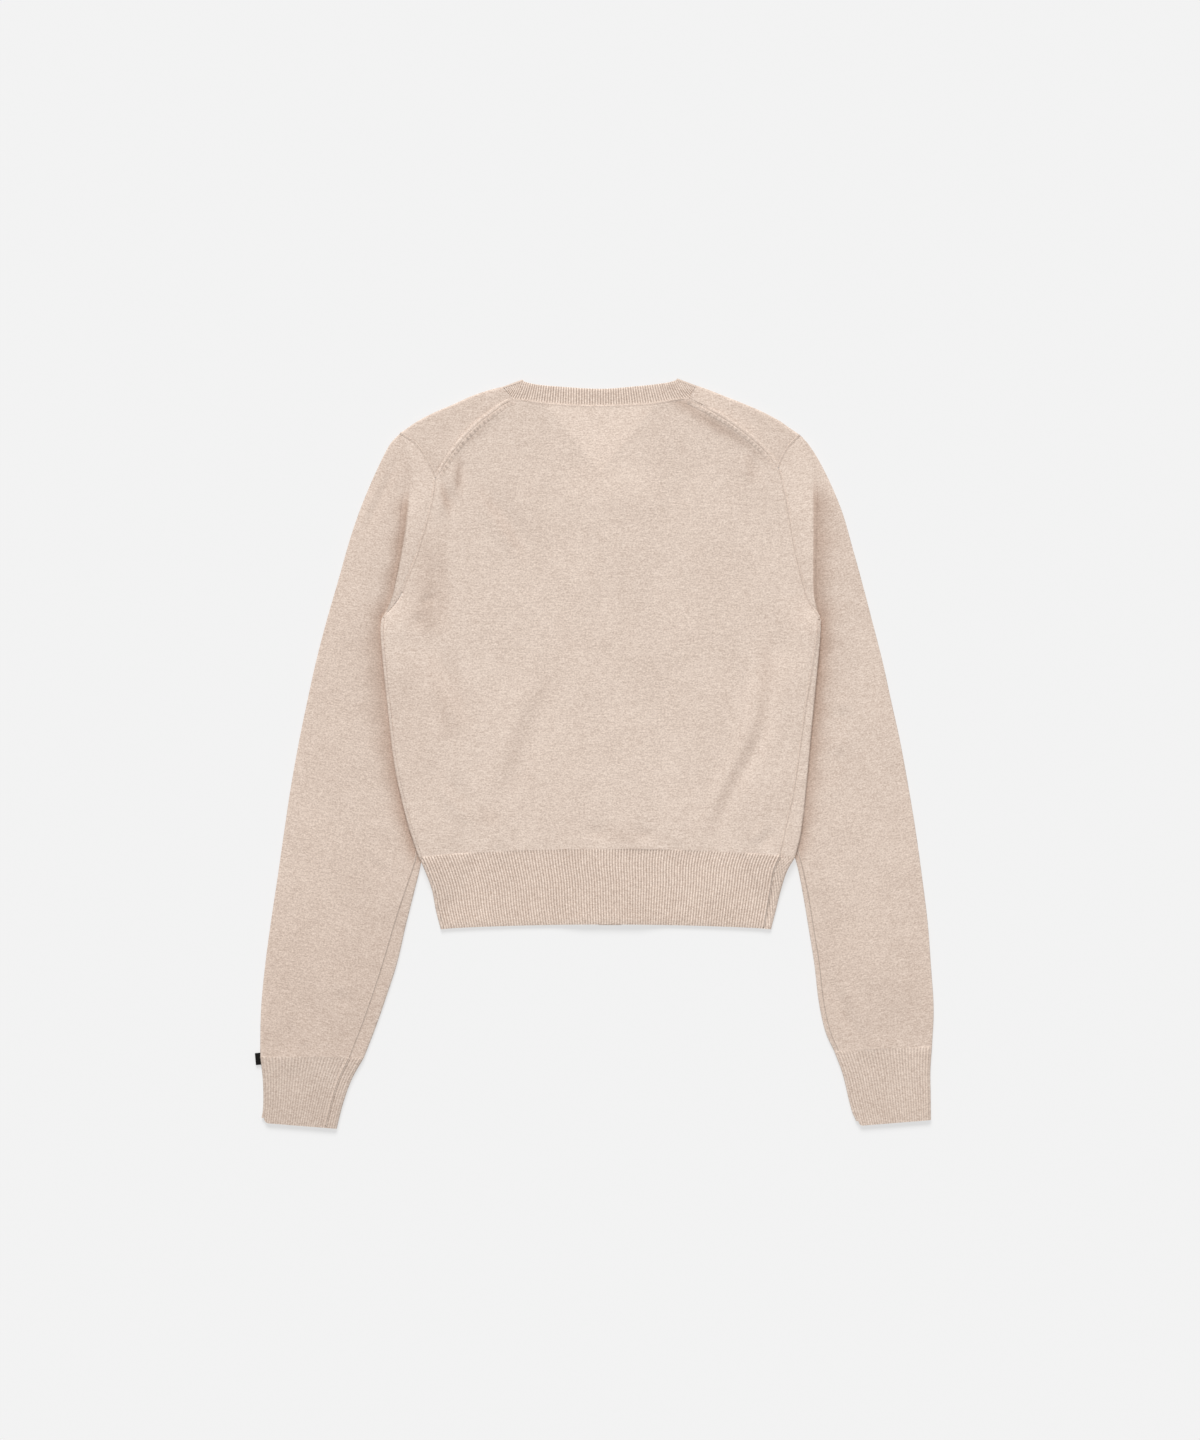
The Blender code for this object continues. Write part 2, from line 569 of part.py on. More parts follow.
def front_lattice(side, column, row):
    """A point of the underside of a front below the armpit."""
    ends = body_row(row)
    edge = ends[0 if side is LEFT else 1]
    if column == TURN_COLUMNS:
        x = inward(side, edge, FOLD_RADIUS)
    else:
        x = front_run_x(side, edge, column)
    return np.array((x, row_y(ends, x, body_crown(row))))


def shoulder_edge(side, across):
    """A point of the shoulder fold, and the direction from it into the garment."""
    routes = ROUTES[side.name]
    fold = routes["shoulder_fold"]
    ahead = fold.at(across + 0.02) - fold.at(across - 0.02)
    into = np.array((ahead[1], -ahead[0])) * (-side.sign)
    along_cap = routes["cap_seam"].at(0.9) - routes["cap_seam"].at(1.0)
    into = mix(unit(along_cap), unit(into), min(across / CAP_CORNER, 1.0))
    edge = fold.at(across) - (side.sign * SEAM_GAP * (across == 0), 0.0)
    return edge, unit(into)


def arm_edge(side, row):
    """The armhole of a front, row by row from the armpit to the shoulder fold."""
    routes = ROUTES[side.name]
    if row <= ARM_ROWS:
        return routes["armhole"].at(row / ARM_ROWS)
    return routes["cap_seam"].at((row - ARM_ROWS) / CAP_ROWS)


def front_upper_plan(side, column, row):
    """A point of the underside of a front between the armpit and the shoulder fold."""
    across = (column - TURN_COLUMNS) / (FRONT_COLUMNS - TURN_COLUMNS)
    up = row / LOWER_ROWS
    armpit_row = [front_lattice(side, c, BODY_ROWS) for c in (column, TURN_COLUMNS, FRONT_COLUMNS)]
    fold_row = []
    for share in (across, 0.0, 1.0):
        edge, into = shoulder_edge(side, share)
        fold_row.append(edge + into * FOLD_RADIUS)
    front_edge = ROUTES[side.name]["front_edge"]
    start = front_edge.share_at_y(armpit_row[2][1])
    left = arm_edge(side, row) - (side.sign * SEAM_GAP, 0.0)
    right = front_edge.at(start + (1 - start) * up) + (side.sign * SEAM_GAP, 0.0)
    bottom = dict(zip(("at", "start", "end"), armpit_row))
    top = dict(zip(("at", "start", "end"), fold_row))
    plan = patch(bottom, top, left, right, across, up)
    return fold_row[0] if row == LOWER_ROWS else plan


def flap_plan(side, column, row):
    """A point of the part of a front that lies on the back, above the shoulder seam."""
    across = (column - TURN_COLUMNS) / (FRONT_COLUMNS - TURN_COLUMNS)
    down = row / FLAP_ROWS
    routes = ROUTES[side.name]
    edge, into = shoulder_edge(side, across)
    start_edge, start_into = shoulder_edge(side, 0.0)
    seam = routes["shoulder_seam"].at(across) + (side.sign * SEAM_GAP, SEAM_GAP)
    ruled = mix(edge + into * FOLD_RADIUS, seam, down)
    corner = mix(start_edge + start_into * FOLD_RADIUS, routes["shoulder_seam"].at(0.0), down)
    cap = routes["cap_seam"].at(1 - down) - (side.sign * SEAM_GAP, 0.0)
    return ruled + (1 - across) * (cap - corner) if row else ruled


def front_point(side, column, row, outside):
    if row <= BODY_ROWS:
        if column < TURN_COLUMNS:
            return side_turn(side, body_row(row), column, not outside, body_crown(row))
        x, y = front_lattice(side, column, row)
        return x, y, tuck_lift(x, y) + (0.0 if outside else CLOTH)
    row -= BODY_ROWS
    column = max(column, TURN_COLUMNS)
    if row <= LOWER_ROWS:
        x, y = front_upper_plan(side, column, row)
        return x, y, tuck_lift(x, y) + (0.0 if outside else CLOTH)
    row -= LOWER_ROWS
    across = (column - TURN_COLUMNS) / (FRONT_COLUMNS - TURN_COLUMNS)
    if row <= TURN_STEPS:
        edge, into = shoulder_edge(side, across)
        depth, height = turn_point(math.pi * row / TURN_STEPS - math.pi / 2, not outside)
        x, y = edge + into * depth
        return x, y, height
    x, y = flap_plan(side, column, row - TURN_STEPS)
    return x, y, BODY_THICKNESS if outside else PANEL_STEP


def build_front(side, material):
    build_shell("front_" + side.name, FRONT_COLUMNS, FRONT_ROWS,
                lambda column, row, outside: front_point(side, column, row, outside), material,
                missing=lambda column, row: column < TURN_COLUMNS and row >= BODY_ROWS,
                mirrored=side is RIGHT)


# The ribbed hem

def hem_lift(side, edge, depth):
    """The lift of the hem by the sleeve, straight between the columns of the body."""
    depths = [FOLD_RADIUS, *(seam_inset(side, edge[1]) + step for step in SIDE_STEPS)]
    lifts = [tuck_lift(inward(side, edge, each), edge[1]) for each in depths]
    return float(np.interp(depth, depths, lifts))


def build_hem_back(material):
    columns = 2 * HEM_RIBS

    def point(column, row, outside):
        ends = hem_row(row)
        seams = [inward(side, edge, seam_inset(side, edge[1]) + SEAM_GAP)
                 for side, edge in zip((LEFT, RIGHT), ends)]
        x = float(mix(seams[0], seams[1], column / columns))
        y = row_y(ends, x, hem_crown(row)) - (SEAM_GAP if row == 0 else 0.0)
        side, edge = (LEFT, ends[0]) if x < CLOSING_X else (RIGHT, ends[1])
        lift = hem_lift(side, edge, abs(edge[0] - x))
        z = PANEL_STEP + closing_lift(x, y) + lift + HEM_EASE * ease(0, HEM_EASE, lift)
        return (x, y, z + CLOTH + rib_wave(column)) if outside else (x, y, z)

    build_shell("hem_back", columns, HEM_ROWS, point, material)


def build_hem_front(side, material):
    """The hem of a front, which turns over the side edge up to the side seam."""
    wrap = 2 * WRAP_RIBS if side is RIGHT else 1
    columns = wrap + TURN_STEPS + 1 + SIDE_COLUMNS + 1

    def point(column, row, outside):
        ends = hem_row(row)
        edge = ends[0 if side is LEFT else 1]
        lift = tuck_lift(edge[0], edge[1])
        wave = rib_wave(column) if outside and 0 < column < wrap else 0.0
        if column < wrap:
            seam = seam_inset(side, edge[1])
            depth = float(mix(seam, FOLD_RADIUS, column / wrap))
            z = lift + (BODY_THICKNESS + wave if outside else PANEL_STEP)
        elif column <= wrap + TURN_STEPS:
            angle = math.pi / 2 - math.pi * (column - wrap) / TURN_STEPS
            depth, height = turn_point(angle, not outside)
            z = lift + height
        else:
            step = column - wrap - TURN_STEPS - 1
            band = ROUTES[side.name]["front_edge"].x_at_y(edge[1]) + side.sign * SEAM_GAP
            reach = side.sign * (edge[0] - band)
            depth = reach if step > SIDE_COLUMNS else seam_inset(side, edge[1]) + SIDE_STEPS[step]
            z = hem_lift(side, edge, depth) + (0.0 if outside else CLOTH)
        x = inward(side, edge, depth)
        y = row_y(ends, x, hem_crown(row)) - (SEAM_GAP if row == 0 else 0.0)
        return x, y, z

    build_shell("hem_front_" + side.name, columns, HEM_ROWS, point, material,
                mirrored=side is RIGHT)


# The neckband and the front bands

def build_neckband(material):
    """The ribbed band on the back neck, which ends at the folds over the shoulders."""
    seam = Route(NECK_SEAM)
    corners = []
    for side, corner in ((LEFT, NECK_TOP[0]), (RIGHT, NECK_TOP[-1])):
        end = ROUTES[side.name]["shoulder_fold"].at(1.0)
        fold = np.array(corner) - end
        into = unit(np.array((fold[1], -fold[0])) * -side.sign) * (FOLD_RADIUS + SEAM_GAP)
        corners.append([end + into - (2 * side.sign * SEAM_GAP, 0.0), corner + into])
    top = Route([corners[0][0], corners[0][1], *NECK_TOP[1:-1], corners[1][1], corners[1][0]],
                corners=True)
    columns = 2 * NECK_RIBS

    def point(column, row, outside):
        share = column / columns
        end_gap = SEAM_GAP * ((column == 0) - (column == columns))
        x, y = (seam.at(share) + (2 * end_gap, SEAM_GAP)) if row == 0 else top.at(share)
        z = PANEL_STEP - neck_sag(x, y)
        wave = rib_wave(column) if 0 < column < columns else 0.0
        return (x, y, z + CLOTH + wave) if outside else (x, y, z)

    build_shell("neckband", columns, 1, point, material)


def build_band(name, rows, material):
    """A front band: it turns over at the shoulder, follows the V and runs down to the hem."""
    smooth = Route(rows)
    first = rows[0]
    fold = np.array((first.free_x - first.seam_x, first.free_y - first.seam_y))
    into = unit(np.array((fold[1], -fold[0])) * np.sign(fold[0]))

    def row_at(step):
        sample = step / BAND_STEPS * (len(rows) - 1) * Route.SAMPLES
        here = [np.interp(sample, range(len(smooth.line)), axis) for axis in smooth.line.T]
        return *here[:4], max(here[4], 0.0), max(here[5], 0.0)

    def point(column, row, outside):
        turned = row <= TURN_STEPS
        seam_x, seam_y, free_x, free_y, seam_z, free_z = row_at(max(row - TURN_STEPS, 0))
        share = (0.0, BAND_KNEE, 1.0)[column]
        x, y = mix((seam_x, seam_y), (free_x, free_y), share)
        z = seam_z if column == 0 else free_z
        if not turned:
            return x, y, z + (0.0 if outside else BAND_CLOTH)
        radius = FOLD_RADIUS - (0.0 if outside else BAND_CLOTH)
        angle = math.pi / 2 - math.pi * row / TURN_STEPS
        depth = FOLD_RADIUS - radius * math.cos(angle)
        x, y = (x, y) + into * depth
        return x, y, FOLD_RADIUS + radius * math.sin(angle)

    build_shell(name, 2, BAND_STEPS + TURN_STEPS, point, material)


def build_buttons(material):
    """Flat buttons with a dished face, which lie face down under the closed bands."""
    for index in range(BUTTONS):
        y = mix(BUTTON_TOP_Y, BUTTON_END_Y, index / (BUTTONS - 1))
        disc = bmesh.new()
        bmesh.ops.create_cone(disc, cap_ends=True, segments=BUTTON_SIDES, radius1=BUTTON_RADIUS,
                              radius2=BUTTON_RADIUS, depth=BUTTON_THICKNESS)
        face = min(disc.faces, key=lambda item: item.calc_center_median().z)
        bmesh.ops.inset_region(disc, faces=[face], thickness=BUTTON_RIM)
        bmesh.ops.translate(disc, verts=face.verts[:], vec=(0, 0, BUTTON_DISH))
        piece = finish_object("button_" + str(index + 1), disc, material)
        piece.location = (CLOSING_X, float(y), BUTTON_THICKNESS / 2)


# The sleeves and cuffs

def sleeve_shares(side):
    """Where the armhole's rows lie along a ring, from the shoulder fold to the armpit."""
    spots_on_edge = np.array([arm_edge(side, UPPER_STEPS - step) for step in range(UPPER_STEPS + 1)])
    steps = np.linalg.norm(np.diff(spots_on_edge, axis=0), axis=1)
    run = np.concatenate(([0.0], np.cumsum(steps)))
    return run / run[-1]


def sleeve_rings(side):
    """Each ring's ends, bow and share that lies free, from the armhole to the cuff."""
    table = np.array(side.sleeve)
    strip = [mix(table[0], table[1], share) for share in STRIP_SHARES]
    return [table[0], *strip, *table[1:]]


def build_sleeve(side, material):
    rings = sleeve_rings(side)
    shares = sleeve_shares(side)
    routes = ROUTES[side.name]
    around = UPPER_STEPS + UNDER_STEPS + 2 * EDGE_STEPS

    def line_at(ring, share, footed=True):
        """A point in plan along a ring, from its outer to its inner end."""
        outer_out, outer_y, inner_out, inner_y, bow, _ = rings[ring]
        chord = mix((side.sign * outer_out, outer_y), (side.sign * inner_out, inner_y), share)
        if ring == 0 or bow <= 0:
            return armhole_at(share) if ring == 0 else chord
        folded = routes["sleeve_fold"].at(share)
        first = rings[0]
        first_chord = mix((side.sign * first[0], first[1]), (side.sign * first[2], first[3]), share)
        weight = 1.0 if ring <= STRIP_ROWS else bow
        head = folded - first_chord
        if ring == 1:
            head = mix(armhole_at(share) - first_chord, head, 0.5)
        if ring == STRIP_ROWS and footed:
            head = head + (side.sign * STRIP_FOOT * strip_window(share), 0.0)
        return chord + weight * head

    def armhole_at(share):
        edge = np.array([arm_edge(side, UPPER_STEPS - step) for step in range(UPPER_STEPS + 1)])
        x, y = [np.interp(share, shares, axis) for axis in edge.T]
        return np.array((x + 2 * side.sign * SEAM_GAP, y))

    def strip_window(share):
        return ease(0.2, 0.5, share) * (1 - ease(0.88, 0.98, share))

    def underside(ring, x, y):
        return tuck_lift(x, y) * (EARLY_LIFTS[ring] if ring < len(EARLY_LIFTS) else 0.0)

    def thickness(ring, share):
        """The height of a ring: thin at the seams and under the body, fuller where it lies free."""
        free = rings[ring][5]
        full = min(ring / FULL_RING, 1.0)
        crown = math.sin(math.pi * share / free) ** 2 if share < free else 0.0
        height = float(mix(BODY_THICKNESS, SLEEVE_FLAT, full)) + (SLEEVE_FULL - SLEEVE_FLAT) * crown * full
        if 1 <= ring <= STRIP_ROWS:
            height += STRIP_LIFT * STRIP_HEIGHTS[ring - 1] * strip_window(share)
        return height

    def point(column, ring, outside):
        wall = 0.0 if outside else CLOTH
        ends = {share: (line_at(ring, share), line_at(ring, abs(share - 0.05)))
                for share in (0.0, 1.0)}
        radius = thickness(ring, 0.0) / 2

        def edge_centre(share):
            end, inner = ends[share]
            into = (inner - end) / np.linalg.norm(inner - end)
            return end + into * radius, -into

        def face_plan(share, footed=True):
            return edge_centre(share)[0] if share in (0.0, 1.0) else line_at(ring, share, footed)

        if column <= UPPER_STEPS:
            share = float(shares[column]) if column < UPPER_STEPS else 1.0
            x, y = face_plan(share)
            return x, y, underside(ring, x, y) + thickness(ring, share) - wall
        column -= UPPER_STEPS
        if column < EDGE_STEPS:
            return rounded_end(edge_centre(1.0), radius, wall, math.pi / 2
                               - math.pi * column / EDGE_STEPS, ring)
        column -= EDGE_STEPS
        if column <= UNDER_STEPS:
            share = 1 - column / UNDER_STEPS
            x, y = face_plan(share, footed=False)
            return x, y, underside(ring, x, y) + wall
        column -= UNDER_STEPS
        return rounded_end(edge_centre(0.0), radius, wall, math.pi * column / EDGE_STEPS
                           - math.pi / 2, ring)

    def rounded_end(end, radius, wall, angle, ring):
        centre, outward = end
        reach = (radius - wall) * math.cos(angle)
        x, y = centre + outward * reach
        lift = underside(ring, *centre)
        return x, y, lift + radius + (radius - wall) * math.sin(angle)

    build_shell("sleeve_" + side.name, around, len(rings) - 1, point, material, closed=True)


def build_cuff(side, material):
    """A ribbed tube, whose ribs stand out on top and are pressed flat underneath."""
    upper = 2 * CUFF_RIBS
    around = upper + CUFF_UNDER_STEPS + 2 * EDGE_STEPS
    radius = CUFF_THICKNESS / 2

    def point(column, row, outside):
        wall = 0.0 if outside else CLOTH
        spot = side.cuff[row]
        outer = np.array((side.sign * spot.outer_out, spot.outer_y))
        inner = np.array((side.sign * spot.inner_out, spot.inner_y))
        into = (inner - outer) / np.linalg.norm(inner - outer)
        ends = (outer + into * radius, inner - into * radius)
        if column <= upper:
            x, y = mix(*ends, column / upper)
            wave = rib_wave(column) if outside else 0.0
            return x, y, CUFF_THICKNESS - wall + wave
        column -= upper
        if column < EDGE_STEPS:
            angle = math.pi / 2 - math.pi * column / EDGE_STEPS
            x, y = ends[1] + into * (radius - wall) * math.cos(angle)
            return x, y, radius + (radius - wall) * math.sin(angle)
        column -= EDGE_STEPS
        if column <= CUFF_UNDER_STEPS:
            x, y = mix(ends[1], ends[0], column / CUFF_UNDER_STEPS)
            return x, y, wall
        angle = math.pi * (column - CUFF_UNDER_STEPS) / EDGE_STEPS - math.pi / 2
        x, y = ends[0] - into * (radius - wall) * math.cos(angle)
        return x, y, radius + (radius - wall) * math.sin(angle)

    build_shell("cuff_" + side.name, around, len(side.cuff) - 1, point, material, closed=True)


def build_cuff_tag(material):
    tab = bmesh.new()
    bmesh.ops.create_cube(tab, size=1.0)
    bmesh.ops.scale(tab, vec=TAG_SIZE, verts=tab.verts[:])
    piece = finish_object("cuff_tag", tab, material)
    piece.location = TAG_PLACE
    piece.rotation_euler = (0.0, 0.0, TAG_TURN)


clear_scene()
COLLECTION = bpy.data.collections.new("cardigan")
bpy.context.scene.collection.children.link(COLLECTION)
MATERIALS = make_materials()

build_back(MATERIALS["knit"])
for garment_side in (LEFT, RIGHT):
    build_front(garment_side, MATERIALS["knit"])
    build_sleeve(garment_side, MATERIALS["knit"])
    build_cuff(garment_side, MATERIALS["rib"])
    build_hem_front(garment_side, MATERIALS["rib"])
build_hem_back(MATERIALS["rib"])
build_neckband(MATERIALS["rib"])
for band_name, band_rows in BANDS.items():
    build_band(band_name, band_rows, MATERIALS["rib"])
build_buttons(MATERIALS["button"])
build_cuff_tag(MATERIALS["tag"])
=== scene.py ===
"""The looks of a cropped fine-knit cardigan, laid flat on its front and seen from above.

Metres, but for the tables of outlines and folds, which are in millimetres. Each piece of cloth is
a thin shell on the form of its solid, with finer ribs, creases and seams. The outlines give `out`
as the distance from the middle line towards that side.
"""

import math
from collections import namedtuple

import bmesh
import bpy
import numpy as np
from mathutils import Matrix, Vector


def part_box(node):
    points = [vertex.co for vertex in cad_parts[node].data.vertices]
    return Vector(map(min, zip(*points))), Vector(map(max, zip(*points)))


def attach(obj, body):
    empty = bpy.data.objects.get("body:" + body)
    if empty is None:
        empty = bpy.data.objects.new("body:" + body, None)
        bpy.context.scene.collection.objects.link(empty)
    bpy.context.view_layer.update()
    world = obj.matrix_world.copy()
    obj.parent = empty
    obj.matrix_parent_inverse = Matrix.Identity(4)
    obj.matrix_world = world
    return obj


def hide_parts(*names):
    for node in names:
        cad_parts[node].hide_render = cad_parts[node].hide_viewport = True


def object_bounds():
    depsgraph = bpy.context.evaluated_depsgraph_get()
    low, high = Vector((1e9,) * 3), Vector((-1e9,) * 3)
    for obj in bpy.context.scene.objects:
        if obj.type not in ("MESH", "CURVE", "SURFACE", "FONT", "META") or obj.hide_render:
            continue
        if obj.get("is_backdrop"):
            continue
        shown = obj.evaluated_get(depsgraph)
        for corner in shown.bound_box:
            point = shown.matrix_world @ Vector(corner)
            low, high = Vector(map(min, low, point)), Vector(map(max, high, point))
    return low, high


MM = 0.001

# Cloth and clearances, as in the solids
CLOTH = 0.0016
BAND_CLOTH = 0.0010
SEAM_GAP = 0.0001
NECK_GAP = 1.4 * SEAM_GAP
LAYER_GAP = 0.0004
PANEL_STEP = CLOTH + LAYER_GAP
BODY_THICKNESS = PANEL_STEP + CLOTH
FOLD_RADIUS = BODY_THICKNESS / 2
CENTRE_SHIFT = 0.0009  # from the tables' middle line to the middle of the frame
HEM_CROWN = 0.008  # how far the middle of the hem's seam lies above its ends
EDGE_CROWN = 0.0045  # the same for the hem's free edge
HEM_EASE = 0.0009  # the back's hem clears the fronts' by this where it is lifted
RIM_DROP = 0.0006  # a free edge of jersey is rolled down by this
HEM_DROP = 0.00025  # the same for the free edges of the hem and the neckband
NECK_DROP = 0.0005

# Ribbing
RIB_HEIGHT = 0.0008
RIB_SINK = 0.0004  # the crests of the ribs lie level with the jersey
RIB_START = 0.03  # share of a rib's length in which it rises from the jersey
RIB_PITCH = 0.00245
HEM_RIBS = 122
HEM_FRONT_RIBS = 58
CUFF_RIBS = 30
BAND_RIBS = 7
RIB_STEPS = 6  # columns of the mesh in one rib
CUFF_RELIEF = 0.5  # the cuffs' ribs, beside the hem's
CUFF_CORNER = 0.0045  # radius of the rounded corner at a cuff's open end
CUFF_THICKNESS = 0.0046
HEM_CLEAR, CUFF_CLEAR = 0.78, 0.60  # how strongly the ribs' painted light and shade show; 1 on the neckband

# The sleeves, and how the body lies over them
SLEEVE_FLAT = 0.0039
SLEEVE_FULL = 0.0072
CROWN_ROUNDNESS = 0.8
SLEEVE_SINK = 0.00015  # the first rings of a sleeve reach below those that follow
SLEEVE_WAVES = 0.7  # the sleeves' unevenness, beside the body's
TUCK_LIFT = 0.0045
TUCK_FALL = (0.003, 0.055)  # where the lift fades, past the sleeve's inner edge
TUCK_TOP = (0.108, 0.148)  # where it fades, in y, towards the armpits and towards the hem
TUCK_END = (-0.155, -0.098)
STRIP_LIFT = 0.0024  # how far the folded sleeve head stands up beside the armhole
STRIP_FOOT = 0.0025  # and how far its edge reaches out on top
CAP_CORNER = 0.15  # share of the shoulder fold in which its direction turns from the cap's
ARM_SHARE = 0.75  # share of a front's armhole below the cap of the sleeve

# Front bands and the neck
CLOSING_X = 0.0135  # the middle of the closed bands, which lift the back by CLOSING_LIFT
CLOSING_LIFT = 0.0026
CLOSING_FLAT = 0.020
CLOSING_FALL = 0.055
CLOSING_TOP = (0.226, 0.270)
NECK_SAG = 0.0007  # how far the back sinks into the V of the fronts, and the V's place
NECK_DEPTH = (0.255, 0.342)
NECK_MIDDLE = 0.005
NECK_HALF_WIDTH = 0.071
NECK_START, NECK_END = 0.265, 0.720  # shares of the back's width where its neck seam lies
NECK_RISE = 0.15  # share of the neckband's depth in which its ribs rise
BESIDE_FOLD = (0.09, 0.12)  # shares of the neckband's length beside the shoulders' folds
BAND_KNEE = 0.17  # share of a band's width in which it comes to its free edge's height
BAND_SIZE = (0.018, 0.5)  # width and length, for its knitting

# The small tab on the left cuff, and the buttons
TAG_SIZE = (0.0056, 0.0110, 0.0012)
TAG_SHIFT = 0.0007
TAG_TURN = math.radians(5)
SOFT_EDGE = 0.0004
BUTTON_RIM = 0.0009
BUTTON_DISH = (0.0003, 0.0004)  # width of its slope, and depth
BUTTONS = 7

# Seams: how dark the painted shade in each one's groove is
STRIP_STEP = 0.0005  # length of one row of the mesh
SEAM_POINTS = 200
SEAM_SHADE = {"armhole": 0.28, "cap": 0.30, "underarm": 0.5, "side": 0.35, "hem": 0.75,
              "neck": 0.3}
# how dark the painted shade in the narrowing marks beside the shoulder seams is
MARK_SHADE = {"left": 0.6, "right": 0.35}
ARMHOLE_SHOWS = {"left": 0.22, "right": 0.02}  # where an armhole's seam comes out of the folds
UNDERARM_START = 9  # row of the sleeve at which its seam comes out
# Share of a sleeve's width at which its underarm seam lies, for each row of its table
UNDERARM_SEAM = {
    "left": [0.97] * 12 + [0.95, 0.93, 0.91, 0.905, 0.895, 0.875],
    "right": [0.98] * 12 + [0.975] * 6,
}

# Colours, and tones: 0 is the yarn's own colour, and more is darker
# the darker, warmer colour that painted shade turns the yarn towards
SHADE_COLOUR = (0.66, 0.57, 0.52)
YARN_DARK = (0.575, 0.452, 0.375)
YARN_PALE = (0.895, 0.760, 0.660)
HORN_DARK, HORN_PALE = (0.50, 0.40, 0.33), (0.66, 0.56, 0.48)
TAPE_DARK, TAPE_PALE = (0.004, 0.004, 0.004), (0.016, 0.014, 0.013)
WHITE = (1.0, 1.0, 1.0, 1.0)
PLAIN_PALE = 0.635  # the paleness at which ribbing has the colour of jersey
SLEEVE_SHADE = {"left": 0.12, "right": 0.06}  # painted shade: both sleeves darker than the back, the left more, as the light falls off towards the lower left
# Painted shade on the cuffs, the left one darker, as the light falls off towards the lower left
CUFF_SHADE = {"left": 0.37, "right": 0.22}
LOW_SHADE = 0.12  # the painted shade on a sleeve deepens towards its cuff by this much
FLAP_TONE = 0.085
HEAD_PALE = 0.4  # the folded sleeve head lies on top and catches the light

# The knitting: streaks and spots are counted per metre, across the wales and along them
JERSEY_STREAKS = (170, 760)
RIB_STREAKS = (300, 520)
FLECKS = (640, 860)
CLOUDS = 22.0
FUZZ = 900.0
JERSEY_MOTTLE, RIB_MOTTLE = 0.80, 0.75
STITCH_WIDTH = 0.00123
STITCH_HEIGHT = 0.0010
SLEEVE_LEAN = math.radians(11)
SHARP_ANGLE = math.radians(55)

# The surround, the lamp, the floor and the camera
SURROUND_STRENGTH = 0.46
LAMP_ENERGY = 2.66
LAMP_SPREAD = math.radians(30)
LAMP_FROM = (-0.10, 0.80, 0.72)
FLOOR_SIZE = 4.0  # half of its width
FLOOR_DROP = 0.0002
FLOOR_GREY = 0.30
FLOOR_GLOW = 0.584
CAMERA_PLACE = (0.00528, 0.0306)
CAMERA_HEIGHT = 6.0
FRAME_HEIGHT = 1.315
SENSOR = 36.0

Spot = namedtuple("Spot", "out y")
SleeveRow = namedtuple("SleeveRow", "outer_out outer_y inner_out inner_y bow open_share")
CuffRow = namedtuple("CuffRow", "outer_out outer_y inner_out inner_y")
BandRow = namedtuple("BandRow", "seam_x seam_y free_x free_y seam_z free_z")
Side = namedtuple("Side", "name sign body_edge hem_edge seam_inset armhole cap_seam shoulder_seam "
                  "shoulder_fold front_edge sleeve_fold sleeve cuff")
Fold = namedtuple("Fold", "height width taper route")  # taper is a share of its length
Wave = namedtuple("Wave", "height per_metre_x per_metre_y start")
HollowShade = namedtuple("HollowShade", "y depth width")


def metres(*rows):
    """Rows of numbers that are written in millimetres."""
    return [tuple(value / 1000 for value in row) for row in rows]


def spots(*rows):
    return [Spot(*row) for row in metres(*rows)]


def sleeve_rows(*rows):
    """Rows of a sleeve: two ends in millimetres, then how it bows and which share is open."""
    return [SleeveRow(*ends, *row[4:]) for row in rows for ends in metres(row[:4])]


def cuff_rows(*rows):
    return [CuffRow(*row) for row in metres(*rows)]


def band_rows(*rows):
    return [BandRow(*row) for row in metres(*rows)]


def fold_rows(*rows):
    """Folds as height, width, taper and the spots that each one runs through."""
    return [Fold(*row[:3], row[3:]) for row in rows]


